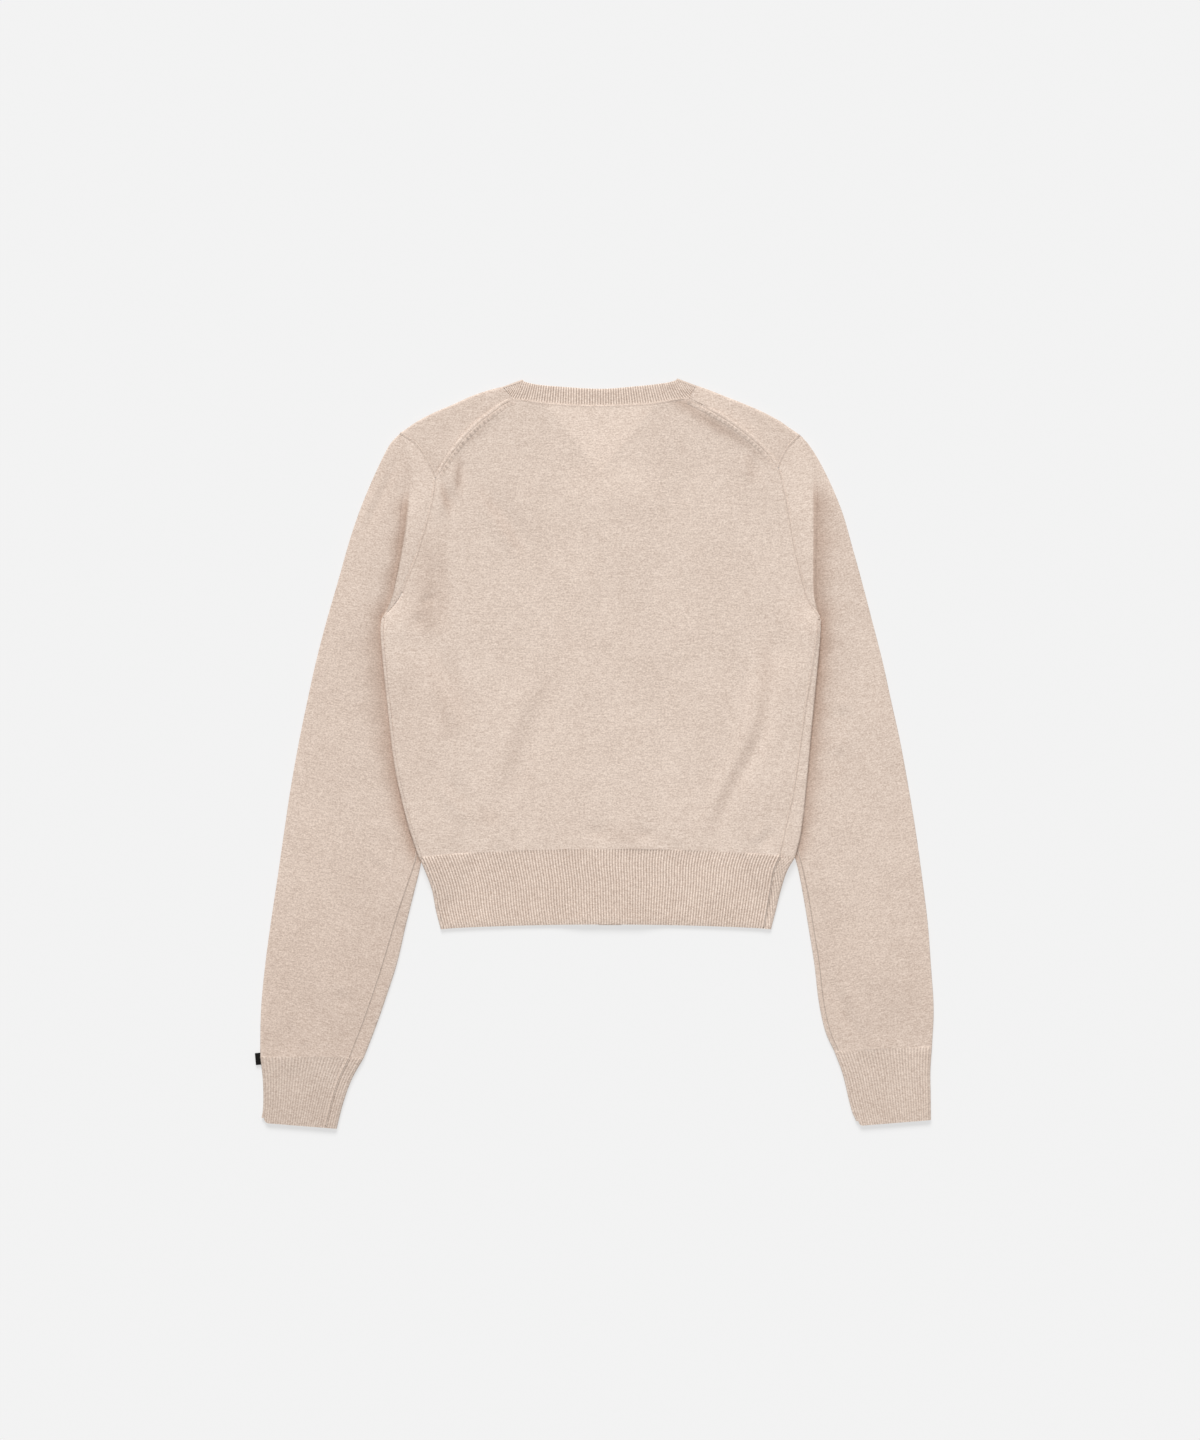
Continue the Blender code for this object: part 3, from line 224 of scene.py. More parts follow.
LEFT = Side(
    name="left", sign=-1,
    body_edge=spots((161, -94.5), (172, -60.5), (183, -12), (189, 38), (193.5, 80), (196, 111),
                    (195, 123.5)),
    hem_edge=spots((161, -94.5), (155.5, -106.5), (149, -124.5), (145.5, -143), (141, -160.5)),
    seam_inset=spots((2.7, -160.5), (2.7, 123.5)),
    armhole=spots((195, 123.5), (180, 140), (171.5, 159.5), (163.5, 178), (157, 199),
                  (151.5, 218), (148, 233.5), (145.5, 252.5)),
    cap_seam=spots((145.5, 252.5), (150, 262.5), (156, 272), (164.5, 283.5), (178, 292.5)),
    shoulder_seam=spots((145.5, 252.5), (136.5, 268), (125.5, 283), (111.5, 298.5), (96, 311),
                        (82, 321), (74.5, 323.5)),
    shoulder_fold=spots((178, 292.5), (162, 303.5), (145.5, 312), (129, 319), (112.5, 326.5),
                        (96, 332), (84, 335)),
    front_edge=spots((-3, -160), (-3, 0), (-3, 100), (-3, 150), (-3, 180), (-3, 197), (-2.3, 212),
                     (2.5, 226), (11, 243), (23, 260), (46.5, 289.5), (84, 335)),
    sleeve_fold=spots((178, 292.5), (172, 281), (167.5, 268), (166.5, 251.5), (169, 233.5),
                      (171.5, 211.5), (176, 185), (180, 165), (184.5, 146), (190, 132),
                      (195, 123.5)),
    sleeve=sleeve_rows(
        (178, 292.5, 195, 123.5, 1, 1), (187, 283, 196, 117, 0.85, 1),
        (195.5, 267, 196.2, 110, 0.62, 0.92), (206, 244, 195.7, 103, 0.35, 0.86),
        (216, 219, 192, 92, 0.15, 0.86), (225, 192, 182, 77, 0.06, 0.76),
        (235, 156.5, 170, 55, 0.02, 0.66), (245, 122, 161, 30, 0, 0.62),
        (255, 83.5, 155, 0, 0, 0.62), (263, 47, 152, -30, 0, 0.66),
        (270.5, 10.5, 153.5, -62, 0, 0.76), (278, -31.5, 159, -100, 0, 0.9),
        (284, -71.5, 165.5, -127.5, 0, 1), (289.5, -110, 173, -157.5, 0, 1),
        (295.5, -150, 181, -192, 0, 1), (301, -190.5, 192, -226, 0, 1),
        (305, -232.5, 201, -251.5, 0, 1), (306, -276, 211, -277.5, 0, 1)),
    cuff=cuff_rows((306, -276.3, 211.2, -277.8), (303.5, -297, 222, -297),
                   (303, -318.5, 230, -319), (304.5, -337, 236, -342.5)),
)

RIGHT = Side(
    name="right", sign=1,
    body_edge=spots((182.5, -94.5), (188.5, -68), (194, -16), (197.5, 22.5), (203, 79),
                    (205.5, 106.5), (206, 122)),
    hem_edge=spots((182.5, -94.5), (175, -107.5), (169.5, -124.5), (165, -143), (160.5, -160.5)),
    seam_inset=spots((7, -160.5), (9.5, -124.5), (14.5, -90), (14.5, -71.5), (10.5, -32.5),
                     (9, -5), (6.5, 53.5), (2.7, 111), (2.7, 123.5)),
    armhole=spots((206, 122), (195, 138.5), (189, 156), (185, 172.5), (180.5, 192.5),
                  (176, 220.5), (170.5, 247), (167, 261.5)),
    cap_seam=spots((167, 261.5), (169.5, 268), (175.5, 279), (186.5, 291)),
    shoulder_seam=spots((167, 261.5), (158.5, 274), (148, 284.5), (130, 299), (107.5, 313),
                        (85.5, 324.5)),
    shoulder_fold=spots((186.5, 291), (175, 299), (167, 304.5), (150.5, 313), (134, 320),
                        (117.5, 326.5), (101, 333), (92, 336)),
    front_edge=spots((24, -160), (24, 10), (24, 120), (24, 170), (24, 200), (24, 216),
                     (24.2, 232), (26, 247), (35.5, 264.5), (58, 293.5), (92, 336)),
    sleeve_fold=spots((186.5, 291), (192.5, 279), (196, 266), (197.5, 251.5), (198, 239),
                      (198.5, 207), (198.5, 174), (199, 151.5), (201.5, 135), (206, 122)),
    sleeve=sleeve_rows(
        (186.5, 291, 206, 122, 1, 1), (195, 282, 206.1, 115, 0.85, 1),
        (204.5, 267, 206, 108, 0.62, 0.94), (215.5, 245, 205.5, 101, 0.35, 0.9),
        (226, 219, 203, 90, 0.15, 0.86), (234.5, 189.5, 193.5, 75, 0.06, 0.76),
        (244.5, 153, 182, 53, 0.02, 0.66), (253.5, 118.5, 173, 28, 0, 0.62),
        (262, 85.5, 167.5, -2, 0, 0.62), (270, 49, 166.5, -32, 0, 0.66),
        (278.5, 10.5, 172, -64, 0, 0.76), (286.5, -33.5, 183.5, -99, 0, 0.9),
        (293, -73.5, 189.5, -127.5, 0, 1), (298.5, -113.5, 194.5, -157.5, 0, 1),
        (303.5, -154, 200, -192, 0, 1), (306.5, -194, 204, -226, 0, 1),
        (309, -232.5, 210, -253.5, 0, 1), (307.5, -267, 218, -271.5, 0, 1)),
    cuff=cuff_rows((307.5, -267.3, 218.2, -271.8), (306, -289, 226, -293),
                   (306.2, -311, 232, -318), (306.5, -334.5, 238, -340)),
)

SIDES = (LEFT, RIGHT)
NECK_SEAM = metres((-74.5, 323.5), (-61, 321.5), (-47, 319.5), (-19, 317.5), (4.5, 317),
                   (34.5, 318), (50, 319), (74, 322.5), (85.5, 324.5))
NECK_TOP = metres((-66.5, 341.5), (-54, 337), (-33, 335), (4.5, 333), (34.5, 335), (62, 338),
                  (75, 342.5))

# The front bands, from the shoulder down to the hem
BANDS = {
    "band_left": band_rows(
        (-84, 335, -66.5, 341.5, 0, 0), (-46.5, 289.5, -32, 301, 0, 0),
        (-23, 260, -8.5, 271.5, 0, 0.2), (-11, 243, 4.5, 254.5, 0.8, 1.7),
        (-2.5, 226, 14.5, 235, 1.6, 2.8), (2.3, 212, 20, 218, 1.9, 3.2),
        (3, 197, 21, 199.5, 1.9, 3.2), (3, 100, 21, 100, 1.9, 3.2),
        (3, 0, 21, 0, 1.9, 3.2), (3, -90, 21, -90, 1.9, 3.2),
        (3, -156.5, 21, -156.5, 1.9, 3.2)),
    "band_right": band_rows(
        (92, 336, 75, 342.5, 0, 0), (58, 293.5, 43.7, 304.5, 0, 0),
        (35.5, 264.5, 21, 275.3, 0, 0), (25.4, 247, 7.8, 259, 0, 0),
        (23.6, 232, 6, 240.5, 0.4, 0.4), (24, 216, 6, 220, 1.9, 1.9),
        (24, 100, 6, 100, 1.9, 1.9), (24, 0, 6, 0, 1.9, 1.9),
        (24, -90, 6, -90, 1.9, 1.9), (24, -156.5, 6, -156.5, 1.9, 1.9)),
}

# How far the neckband's ribs lean, in metres across for each metre up: x in mm, lean
NECK_LEAN = ((-84, -1.1), (-78, -0.85), (-69, -0.45), (-50, -0.15), (-20, 0), (10, 0),
             (41, 0.18), (60, 0.3), (77, 0.6), (87, 0.95), (92, 1.1))

# Soft ridges (above 0) and troughs (below 0) pressed into the back and the flaps on it
RELIEF_BASE = 0.0004  # the outer face stands this much proud, so troughs don't thin the wall
RELIEF_END, RELIEF_FADE = 0.322, 0.012  # the back is smooth above this y
WRAP_RELIEF = 0.0003
FLAP_RELIEF = 0.0003
BACK_FOLDS = fold_rows(
    (1.3, 5, 0.5, (-128, 280), (-129, 256), (-130, 230)),
    (-1.3, 4, 0.5, (-121, 276), (-122, 252), (-123, 232)),
    (1.2, 5, 0.5, (-146, 252), (-141, 233), (-138, 213)),
    (-1.3, 5, 0.5, (-138, 252), (-133, 232), (-129, 214)),
    (1.8, 8, 0.3, (78, 332), (114, 307), (143, 287), (160, 270)),
    (1.0, 5, 0.3, (-68, 328), (-98, 303), (-122, 284), (-138, 264)),
    (1.3, 8, 0.5, (-159, 186), (-156, 150), (-149, 104)),
    (-1.5, 9, 0.4, (-146, 196), (-143, 145), (-136, 104)),
    (1.2, 7, 0.4, (-149, 100), (-144, 66), (-124, 12)),
    (-1.2, 7, 0.4, (-138, 104), (-132, 72), (-113, 18)),
    (-1.0, 6, 0.5, (-156, 146), (-150, 134)),
    (-0.9, 6, 0.5, (-166, 128), (-158, 112)),
    (1.2, 7, 0.5, (-115, 246), (-90, 208), (-64, 168)),
    (-1.2, 7, 0.5, (-105, 251), (-79, 214), (-54, 174)),
    (0.9, 11, 0.3, (-40, 78), (-73, 28), (-97, -56)),
    (-1.0, 10, 0.3, (-25, 80), (-57, 31), (-82, -58)),
    (1.0, 6, 0.5, (-147, -20), (-131, -44), (-114, -68)),
    (-1.0, 7, 0.5, (-136, -14), (-121, -38), (-104, -62)),
    (1.5, 8, 0.35, (155, 134), (147, 44), (139, 13), (117, -30), (96, -75), (78, -94)),
    (-1.7, 8, 0.35, (166, 134), (158, 46), (150, 14), (129, -26), (108, -70), (90, -92)),
    (-1.2, 5, 0.5, (162, -66), (151, -90)),
    (0.9, 5, 0.5, (154, -62), (143, -86)),
    (-1.0, 6, 0.5, (145, 278), (148, 244)),
    (1.0, 5, 0.5, (137, 278), (140, 244)),
    (0.4, 3, 0.3, (22, 252), (22, 90)),
    (-0.4, 3, 0.3, (28, 252), (28, 90)),
    (-0.8, 6, 0.5, (-14, -66), (4, -72), (20, -70)),
    (-0.8, 6, 0.5, (30, -66), (46, -74), (60, -70)),
    (-0.8, 6, 0.5, (-92, -95), (-80, -92)),
    (-0.8, 6, 0.5, (69, -90), (82, -88)))

# Where the creases of the back leave it in shade: how dark, how wide in mm, taper and route
BACK_SHADES = fold_rows(
    (0.45, 3.5, 0.4, (-124, 277), (-125, 255), (-126, 230)),
    (0.50, 3.5, 0.4, (-142, 252), (-137, 233), (-132, 213)),
    (0.26, 11, 0.4, (-146, 222), (-152, 165), (-148, 92)),
    (0.10, 14, 0.5, (-166, 172), (-160, 140), (-150, 96)),
    (0.16, 6, 0.4, (-136, 214), (-139, 165), (-134, 100)),
    (0.16, 9, 0.5, (-180, 134), (-160, 124), (-136, 106)),
    (0.18, 8, 0.4, (-150, 100), (-141, 50), (-122, -14)),
    (0.12, 6, 0.4, (-134, 110), (-127, 60), (-112, 0)),
    (0.12, 20, 0.3, (-174, 104), (-166, 20), (-154, -64)),
    (0.20, 5, 0.3, (-112, 252), (-85, 211), (-58, 168)),
    (0.10, 8, 0.3, (-30, 80), (-65, 27), (-92, -52)),
    (0.19, 6, 0.3, (161, 138), (152, 44), (144, 14), (123, -28), (102, -72), (84, -94)),
    (0.50, 5.5, 0.25, (52, 334), (76, 322), (100, 306), (138, 282)),
    (0.25, 3.5, 0.3, (120, 296), (145, 276), (160, 262)),
    (0.22, 4, 0.2, (-80, 324), (-101, 302), (-121, 279)),
    (0.22, 4, 0.4, (141, 278), (142, 243)),
    (0.22, 6, 0.4, (-108, -48), (-96, -58), (-82, -64)),
    (0.12, 8, 0.4, (-14, -66), (20, -74), (60, -68)))

# Ridges and troughs in the hem, the sleeves and the cuffs
HEM_FOLDS = fold_rows(
    (-0.6, 6, 0.5, (-87, -96), (-84, -112)),
    (-0.6, 6, 0.5, (76, -92), (74, -108)),
    (0.6, 12, 0.5, (-40, -98), (-44, -155)),
    (0.5, 14, 0.5, (110, -98), (100, -155)))

SLEEVE_FOLDS = {
    "left": fold_rows(
        (-0.9, 4, 0.3, (-176, 276), (-193, 240), (-210, 200)),
        (0.6, 6, 0.3, (-184, 270), (-202, 236), (-218, 200)),
        (-0.7, 5, 0.5, (-212, -90), (-200, -104), (-188, -116)),
        (0.7, 5, 0.5, (-206, -84), (-194, -98), (-184, -108)),
        (-0.8, 5, 0.5, (-243, -216), (-230, -224), (-219, -230)),
        (0.7, 5, 0.5, (-240, -208), (-228, -216), (-218, -222)),
        (-0.8, 6, 0.4, (-279, -240), (-276, -262), (-277, -280)),
        (0.7, 6, 0.4, (-270, -236), (-267, -258), (-268, -276)),
        (-0.6, 14, 0.5, (-236, 120), (-246, 40), (-258, -60)),
        (0.7, 12, 0.5, (-214, 110), (-222, 20), (-232, -70))),
    "right": fold_rows(
        (-0.9, 8, 0.4, (205, 245), (208, 120), (210, 0), (210, -84)),
        (0.8, 7, 0.5, (222, 52), (228, 44), (236, 42)),
        (-0.7, 6, 0.5, (216, 40), (224, 34), (234, 32)),
        (0.8, 7, 0.5, (214, 14), (222, 8), (232, 4)),
        (-0.7, 6, 0.5, (212, 2), (220, -4), (230, -8)),
        (0.7, 7, 0.5, (210, -26), (218, -32), (228, -36)),
        (-0.9, 6, 0.4, (214, -198), (226, -232), (242, -266)),
        (0.8, 7, 0.4, (223, -196), (235, -228), (250, -262)),
        (0.7, 14, 0.5, (250, 110), (262, 20), (270, -80)),
        (-0.5, 12, 0.5, (272, 60), (282, -30), (290, -110))),
}

CUFF_FOLDS = fold_rows(
    (-0.7, 7, 0.5, (-277, -280), (-272, -310)),
    (-0.7, 7, 0.5, (242, -268), (254, -300)))

# Painted shade in the hollows on the sleeves beside the body: how dark, and how wide in mm, at
# each y in mm
HOLLOW_SHADES = {
    "left": [HollowShade(-100, 0.8, 8), HollowShade(-40, 0.75, 9), HollowShade(50, 0.5, 16),
             HollowShade(140, 0.65, 10), HollowShade(195, 0.85, 9), HollowShade(225, 0.8, 9), HollowShade(242, 0, 9)],
    "right": [HollowShade(-100, 0.6, 8), HollowShade(-40, 0.6, 11), HollowShade(50, 0.85, 11),
              HollowShade(110, 0.8, 12), HollowShade(195, 0.7, 17), HollowShade(232, 0.65, 15),
              HollowShade(250, 0, 14)],
}

# Faint waves all over the cloth: height in mm, waves per metre and where they start
WAVES = [
    Wave(0.16, 9.0, 3.5, 0.10),
    Wave(0.12, -5.0, 11.0, 0.45),
    Wave(0.09, 17.0, 12.0, 0.70),
    Wave(0.06, -26.0, 19.0, 0.25),
]


# Sums and outlines

def ease(low, high, value):
    """0 below low, 1 above high, with a soft start and end."""
    share = np.clip((value - low) / (high - low), 0.0, 1.0)
    return share * share * (3 - 2 * share)


def mix(first, second, share):
    return first * (1 - share) + second * share


def unit(vectors):
    return vectors / np.linalg.norm(vectors, axis=-1, keepdims=True)


def pair(x, y):
    return np.stack((x, y), axis=-1)


def column(values):
    return np.asarray(values)[..., None]


def rounded(knots, samples=12):
    """Points of a smooth line through the knots."""
    knots = np.array(knots, float)
    ends = np.vstack((2 * knots[0] - knots[1], knots, 2 * knots[-1] - knots[-2]))
    t = column(np.arange(samples) / samples)
    line = [0.5 * (2 * start + (end - before) * t
                   + (2 * before - 5 * start + 4 * end - after) * t ** 2
                   + (3 * start - before - 3 * end + after) * t ** 3)
            for before, start, end, after in zip(ends, ends[1:], ends[2:], ends[3:])]
    return np.vstack((*line, knots[-1:]))


class Route:
    """A line through a few points, read by its share of length or by its y."""

    def __init__(self, points, corners=False):
        self.line = np.array(points, float) if corners else rounded(points)
        steps = np.linalg.norm(np.diff(self.line, axis=0), axis=1)
        self.run = np.concatenate(([0.0], np.cumsum(steps)))
        self.length = self.run[-1]

    def at(self, share):
        where = np.clip(share, 0.0, 1.0) * self.length
        return np.stack([np.interp(where, self.run, axis) for axis in self.line.T], axis=-1)

    def share_at_y(self, y):
        step = 1 if self.line[-1, 1] > self.line[0, 1] else -1
        return np.interp(y, self.line[::step, 1], self.run[::step]) / self.length

    def x_at_y(self, y):
        return self.at(self.share_at_y(y))[..., 0]


class Table:
    """Rows of numbers, read smoothly between the rows by row number."""

    SAMPLES = 12

    def __init__(self, rows):
        self.line = rounded(rows, self.SAMPLES)

    def at(self, row):
        steps = np.arange(len(self.line)) / self.SAMPLES
        return [np.interp(row, steps, axis) for axis in self.line.T]


def make_routes(side):
    """The outlines of one side of the garment, as seen from above."""
    routes = {field: Route([(side.sign * spot.out, spot.y) for spot in getattr(side, field)])
              for field in ("body_edge", "hem_edge", "armhole", "cap_seam", "shoulder_seam",
                            "shoulder_fold", "front_edge", "sleeve_fold")}
    routes["inset"] = Route(side.seam_inset, corners=True)
    routes["sleeve_inner"] = Route([(row.inner_out, row.inner_y) for row in side.sleeve])
    routes["arm"] = Route(np.vstack((routes["armhole"].line, routes["cap_seam"].line[1:])),
                          corners=True)
    return routes


ROUTES = {side.name: make_routes(side) for side in SIDES}
NECK_LINE = Route(NECK_SEAM)


# Heights

def tuck_lift(x, y):
    """How far the body is lifted by the sleeves that lie under its sides."""
    fade = (1 - ease(*TUCK_TOP, y)) * ease(*TUCK_END, y)
    lift = 0.0 * x
    for side in SIDES:
        inner = ROUTES[side.name]["sleeve_inner"]
        past = inner.x_at_y(np.minimum(y, side.sleeve[0].inner_y)) - side.sign * x
        ours = TUCK_LIFT * fade * (1 - ease(*TUCK_FALL, past))
        lift = np.where(side.sign * x > 0, ours, lift)
    return lift


def closing_lift(x, y):
    """How far the back is lifted by the closed bands under it."""
    across = 1 - ease(CLOSING_FLAT, CLOSING_FALL, np.abs(x - CLOSING_X))
    return CLOSING_LIFT * across * (1 - ease(*CLOSING_TOP, y))


def neck_sag(x, y):
    """How far the back sinks where no front lies under it."""
    depth = ease(*NECK_DEPTH, y)
    width = np.maximum(NECK_HALF_WIDTH * depth, 0.001)
    return NECK_SAG * depth * (1 - ease(0.3 * width, width, np.abs(x - NECK_MIDDLE)))


def back_underside(x, y):
    return tuck_lift(x, y) + PANEL_STEP + closing_lift(x, y) - neck_sag(x, y)


def fold_relief(folds, x, y):
    """The soft ridges and troughs that the folds press into a face, from above."""
    height = np.zeros_like(x)
    for fold in folds:
        line = Route(np.array(fold.route, float) * MM)
        shares = np.linspace(0, 1, 60)
        spots_along = line.at(shares)
        reach = 3 * fold.width * MM
        low, high = spots_along.min(0) - reach, spots_along.max(0) + reach
        near = (x > low[0]) & (x < high[0]) & (y > low[1]) & (y < high[1])
        if not near.any():
            continue
        away = np.linalg.norm(pair(x[near], y[near])[:, None] - spots_along[None], axis=2)
        nearest = away.argmin(1)
        share = shares[nearest]
        taper = ease(0, fold.taper, share) * ease(0, fold.taper, 1 - share)
        profile = np.exp(-(away.min(1) / (fold.width * MM)) ** 2)
        height[near] += fold.height * MM * profile * taper
    return height


def unevenness(x, y):
    """The faint waves of cloth that was smoothed out by hand."""
    waves = 0.0 * x
    for wave in WAVES:
        phase = (x * wave.per_metre_x + y * wave.per_metre_y + wave.start) * 2 * math.pi
        waves = waves + wave.height * MM * np.sin(phase)
    return waves


# The body

def row_ends(edge, share):
    """The left and right ends of a row: of the body from its hem line up, or of the hem down."""
    return [ROUTES[side.name][edge].at(share) for side in SIDES]


def row_y(ends, x, crown):
    """The height of a row at x, with its middle raised by crown."""
    left, right = ends
    share = np.clip((x - left[..., 0]) / (right[..., 0] - left[..., 0]), 0.0, 1.0)
    return mix(left[..., 1], right[..., 1], share) + crown * np.sin(math.pi * share) ** 0.7


def seam_inset(side, y):
    """The distance of a side seam from the folded edge of the body."""
    return ROUTES[side.name]["inset"].x_at_y(y)


def between_seams(ends, across):
    """The x of a point of a row of the back, which ends just inside its side seams."""
    seams = [edge[..., 0] - side.sign * (seam_inset(side, edge[..., 1]) + SEAM_GAP)
             for side, edge in zip(SIDES, ends)]
    return mix(*seams, across)


def turn_point(angle, inside):
    """A point of the half turn at a fold: how far in from the edge, and how high."""
    radius = FOLD_RADIUS - (CLOTH if inside else 0.0)
    return FOLD_RADIUS - radius * np.cos(angle), FOLD_RADIUS + radius * np.sin(angle)


def wrap(side, edge, across, outside):
    """How far in from the side's fold a point of a front or its hem lies, and the fold's height.

    `across` is -1 at the side seam, 0 to 1 round the fold, and 2 at the band.
    """
    depth, height = turn_point(math.pi / 2 - math.pi * np.clip(across, 0, 1), not outside)
    wrapped = mix(FOLD_RADIUS, seam_inset(side, edge[..., 1]), np.clip(-across, 0, 1))
    band = ROUTES[side.name]["front_edge"].x_at_y(edge[..., 1]) + side.sign * SEAM_GAP
    flat = mix(FOLD_RADIUS, side.sign * (edge[..., 0] - band), np.clip(across - 1, 0, 1))
    return np.where(across < 0, wrapped, np.where(across > 1, flat, depth)), height


def patch(bottom, top, left, right, across, up):
    """A point of the sheet between four edges, each edge's ends given with its point."""
    across, up = column(across), column(up)
    ruled = mix(bottom[0], top[0], up)
    left_bow = left - mix(bottom[1], top[1], up)
    right_bow = right - mix(bottom[2], top[2], up)
    return ruled + (1 - across) * left_bow + across * right_bow


def back_low(across, share):
    """A point of the back below the armpits."""
    ends = row_ends("body_edge", share)
    x = between_seams(ends, across)
    return pair(x, row_y(ends, x, HEM_CROWN * (1 - share)))


def back_top_edge(across):
    """The upper edge of the back: a shoulder seam, the neck seam and the other shoulder seam."""
    left = ROUTES["left"]["shoulder_seam"].at(across / NECK_START)
    neck = NECK_LINE.at((across - NECK_START) / (NECK_END - NECK_START))
    right = ROUTES["right"]["shoulder_seam"].at((1 - across) / (1 - NECK_END))
    line = np.where(column(across < NECK_START), left, neck)
    line = np.where(column(across > NECK_END), right, line)
    return line - np.array((0.0, NECK_GAP))


def back_plan(across, up):
    """A point of the back: up is 0 at the hem line, 1 at the armpits and 2 at the top."""
    none, whole = 0 * across, 0 * across + 1
    above = np.clip(up - 1, 0, 1)
    left = ROUTES["left"]["armhole"].at(above) + np.array((SEAM_GAP, 0.0))
    right = ROUTES["right"]["armhole"].at(above) - np.array((SEAM_GAP, 0.0))
    bottom = [back_low(share, whole) for share in (across, none, whole)]
    top = [back_top_edge(share) for share in (across, none, whole)]
    upper = patch(bottom, top, left, right, across, above)
    return np.where(column(up <= 1), back_low(across, np.minimum(up, 1)), upper)


def back_point(across, up, outside):
    x, y = back_plan(across, up).T
    z = back_underside(x, y)
    if outside:
        z = z + CLOTH + back_relief(x, y)
    return x, y, z


def single_layer(x, y):
    """1 where no front lies under the back, so that the thin cloth looks paler."""
    depth = np.clip((y - NECK_DEPTH[0]) / (NECK_DEPTH[1] - NECK_DEPTH[0]), 0, 1)
    half_width = NECK_HALF_WIDTH * depth
    return ease(0, 0.003, half_width - np.abs(x - NECK_MIDDLE))


def back_pale_and_shade(x, y):
    """How much paler the back is than its yarn where it lies in one layer (above 0), and how much
    painted shade darkens it in a crease (below 0).
    """
    return single_layer(x, y) - fold_relief(BACK_SHADES, x, y) / MM


def back_relief(x, y):
    calm = ease(0, RELIEF_FADE, RELIEF_END - y)
    return (fold_relief(BACK_FOLDS, x, y) + unevenness(x, y)) * calm + RELIEF_BASE


# The fronts

def front_low(side, across, share, outside):
    """Below the armpit: share is 0 at the hem line and 1 at the armpit."""
    ends = row_ends("body_edge", share)
    edge = ends[SIDES.index(side)]
    depth, height = wrap(side, edge, across, outside)
    x = edge[..., 0] - side.sign * depth
    y = row_y(ends, x, HEM_CROWN * (1 - share))
    held = np.where(across > 1, x, edge[..., 0])
    held = np.where(across < 0, mix(edge[..., 0], x, np.clip(-across, 0, 1)), held)
    lift = tuck_lift(held, np.where(across > 1, y, edge[..., 1]))
    top = BODY_THICKNESS + WRAP_RELIEF * np.clip(-across * 3, 0, 1) if outside else PANEL_STEP
    under = 0.0 if outside else CLOTH
    z = np.where(across < 0, top, np.where(across > 1, under, height))
    return x, y, lift + z


def shoulder_edge(side, across):
    """A point of the shoulder fold, and the direction from it into the garment."""
    routes = ROUTES[side.name]
    fold = routes["shoulder_fold"]
    ahead = fold.at(across + 0.02) - fold.at(across - 0.02)
    into = unit(pair(ahead[..., 1], -ahead[..., 0]) * (-side.sign))
    along_cap = unit(routes["cap_seam"].at(0.9) - routes["cap_seam"].at(1.0))
    into = mix(along_cap, into, column(np.minimum(across / CAP_CORNER, 1.0)))
    gap = side.sign * SEAM_GAP * (1 - np.minimum(across / 0.02, 1.0))
    return fold.at(across) - pair(gap, 0 * gap), unit(into)


def front_high(side, across, up):
    """A point of the underside of a front between the armpit and the shoulder fold, in plan."""
    none, whole = 0 * across, 0 * across + 1
    bottom = []
    for share in (across, none, whole):
        x, y, _ = front_low(side, 1 + share, whole, True)
        bottom.append(pair(x, y))
    top = []
    for share in (across, none, whole):
        edge, into = shoulder_edge(side, share)
        top.append(edge + into * FOLD_RADIUS)
    front_edge = ROUTES[side.name]["front_edge"]
    start = front_edge.share_at_y(bottom[2][..., 1])
    gap = np.array((side.sign * SEAM_GAP, 0.0))
    left = arm_edge(side, up) - gap
    right = front_edge.at(start + (1 - start) * up) + gap
    return patch(bottom, top, left, right, across, up)


def arm_edge(side, up):
    """The armhole of a front, from the armpit up to the shoulder fold."""
    routes = ROUTES[side.name]
    armhole, cap = routes["armhole"], routes["cap_seam"]
    return np.where(column(up <= ARM_SHARE), armhole.at(up / ARM_SHARE),
                    cap.at((up - ARM_SHARE) / (1 - ARM_SHARE)))


def flap_plan(side, across, down):
    """A point of the part of a front that lies on the back, down to the shoulder seam."""
    routes = ROUTES[side.name]
    edge, into = shoulder_edge(side, across)
    start_edge, start_into = shoulder_edge(side, 0 * across)
    seam = routes["shoulder_seam"].at(across) + np.array((side.sign * SEAM_GAP, SEAM_GAP))
    ruled = mix(edge + into * FOLD_RADIUS, seam, column(down))
    corner = mix(start_edge + start_into * FOLD_RADIUS, routes["shoulder_seam"].at(0.0),
                 column(down))
    cap = routes["cap_seam"].at(1 - down) - np.array((side.sign * SEAM_GAP, 0.0))
    return ruled + column(1 - across) * (cap - corner)


def front_point(side, across, up, outside):
    """up: 0 to 1 below the armpit, 2 at the shoulder fold, 3 past its turn, 4 at the seam."""
    low = front_low(side, across, np.clip(up, 0, 1), outside)
    share = np.clip(across - 1, 0, 1)
    x, y = front_high(side, share, np.clip(up - 1, 0, 1)).T
    high = (x, y, tuck_lift(x, y) + (0.0 if outside else CLOTH))
    edge, into = shoulder_edge(side, share)
    depth, height = turn_point(math.pi * np.clip(up - 2, 0, 1) - math.pi / 2, not outside)
    x, y = (edge + into * column(depth)).T
    turned = (x, y, height)
    x, y = flap_plan(side, share, np.clip(up - 3, 0, 1)).T
    relief = fold_relief(BACK_FOLDS, x, y) + FLAP_RELIEF
    top = BODY_THICKNESS + relief * np.clip((up - 3) * 4, 0, 1) if outside else PANEL_STEP
    flap = (x, y, top + 0 * x)
    return [np.where(up <= 1, a, np.where(up <= 2, b, np.where(up <= 3, c, d)))
            for a, b, c, d in zip(low, high, turned, flap)]


# The hem

def hem_lift(side, edge, depth):
    return tuck_lift(edge[..., 0] - side.sign * depth, edge[..., 1])


def rib_height(phase):
    """A rounded rib, 0 in the groove and 1 on the crest."""
    return (0.5 - 0.5 * np.cos(2 * math.pi * phase)) ** 0.8


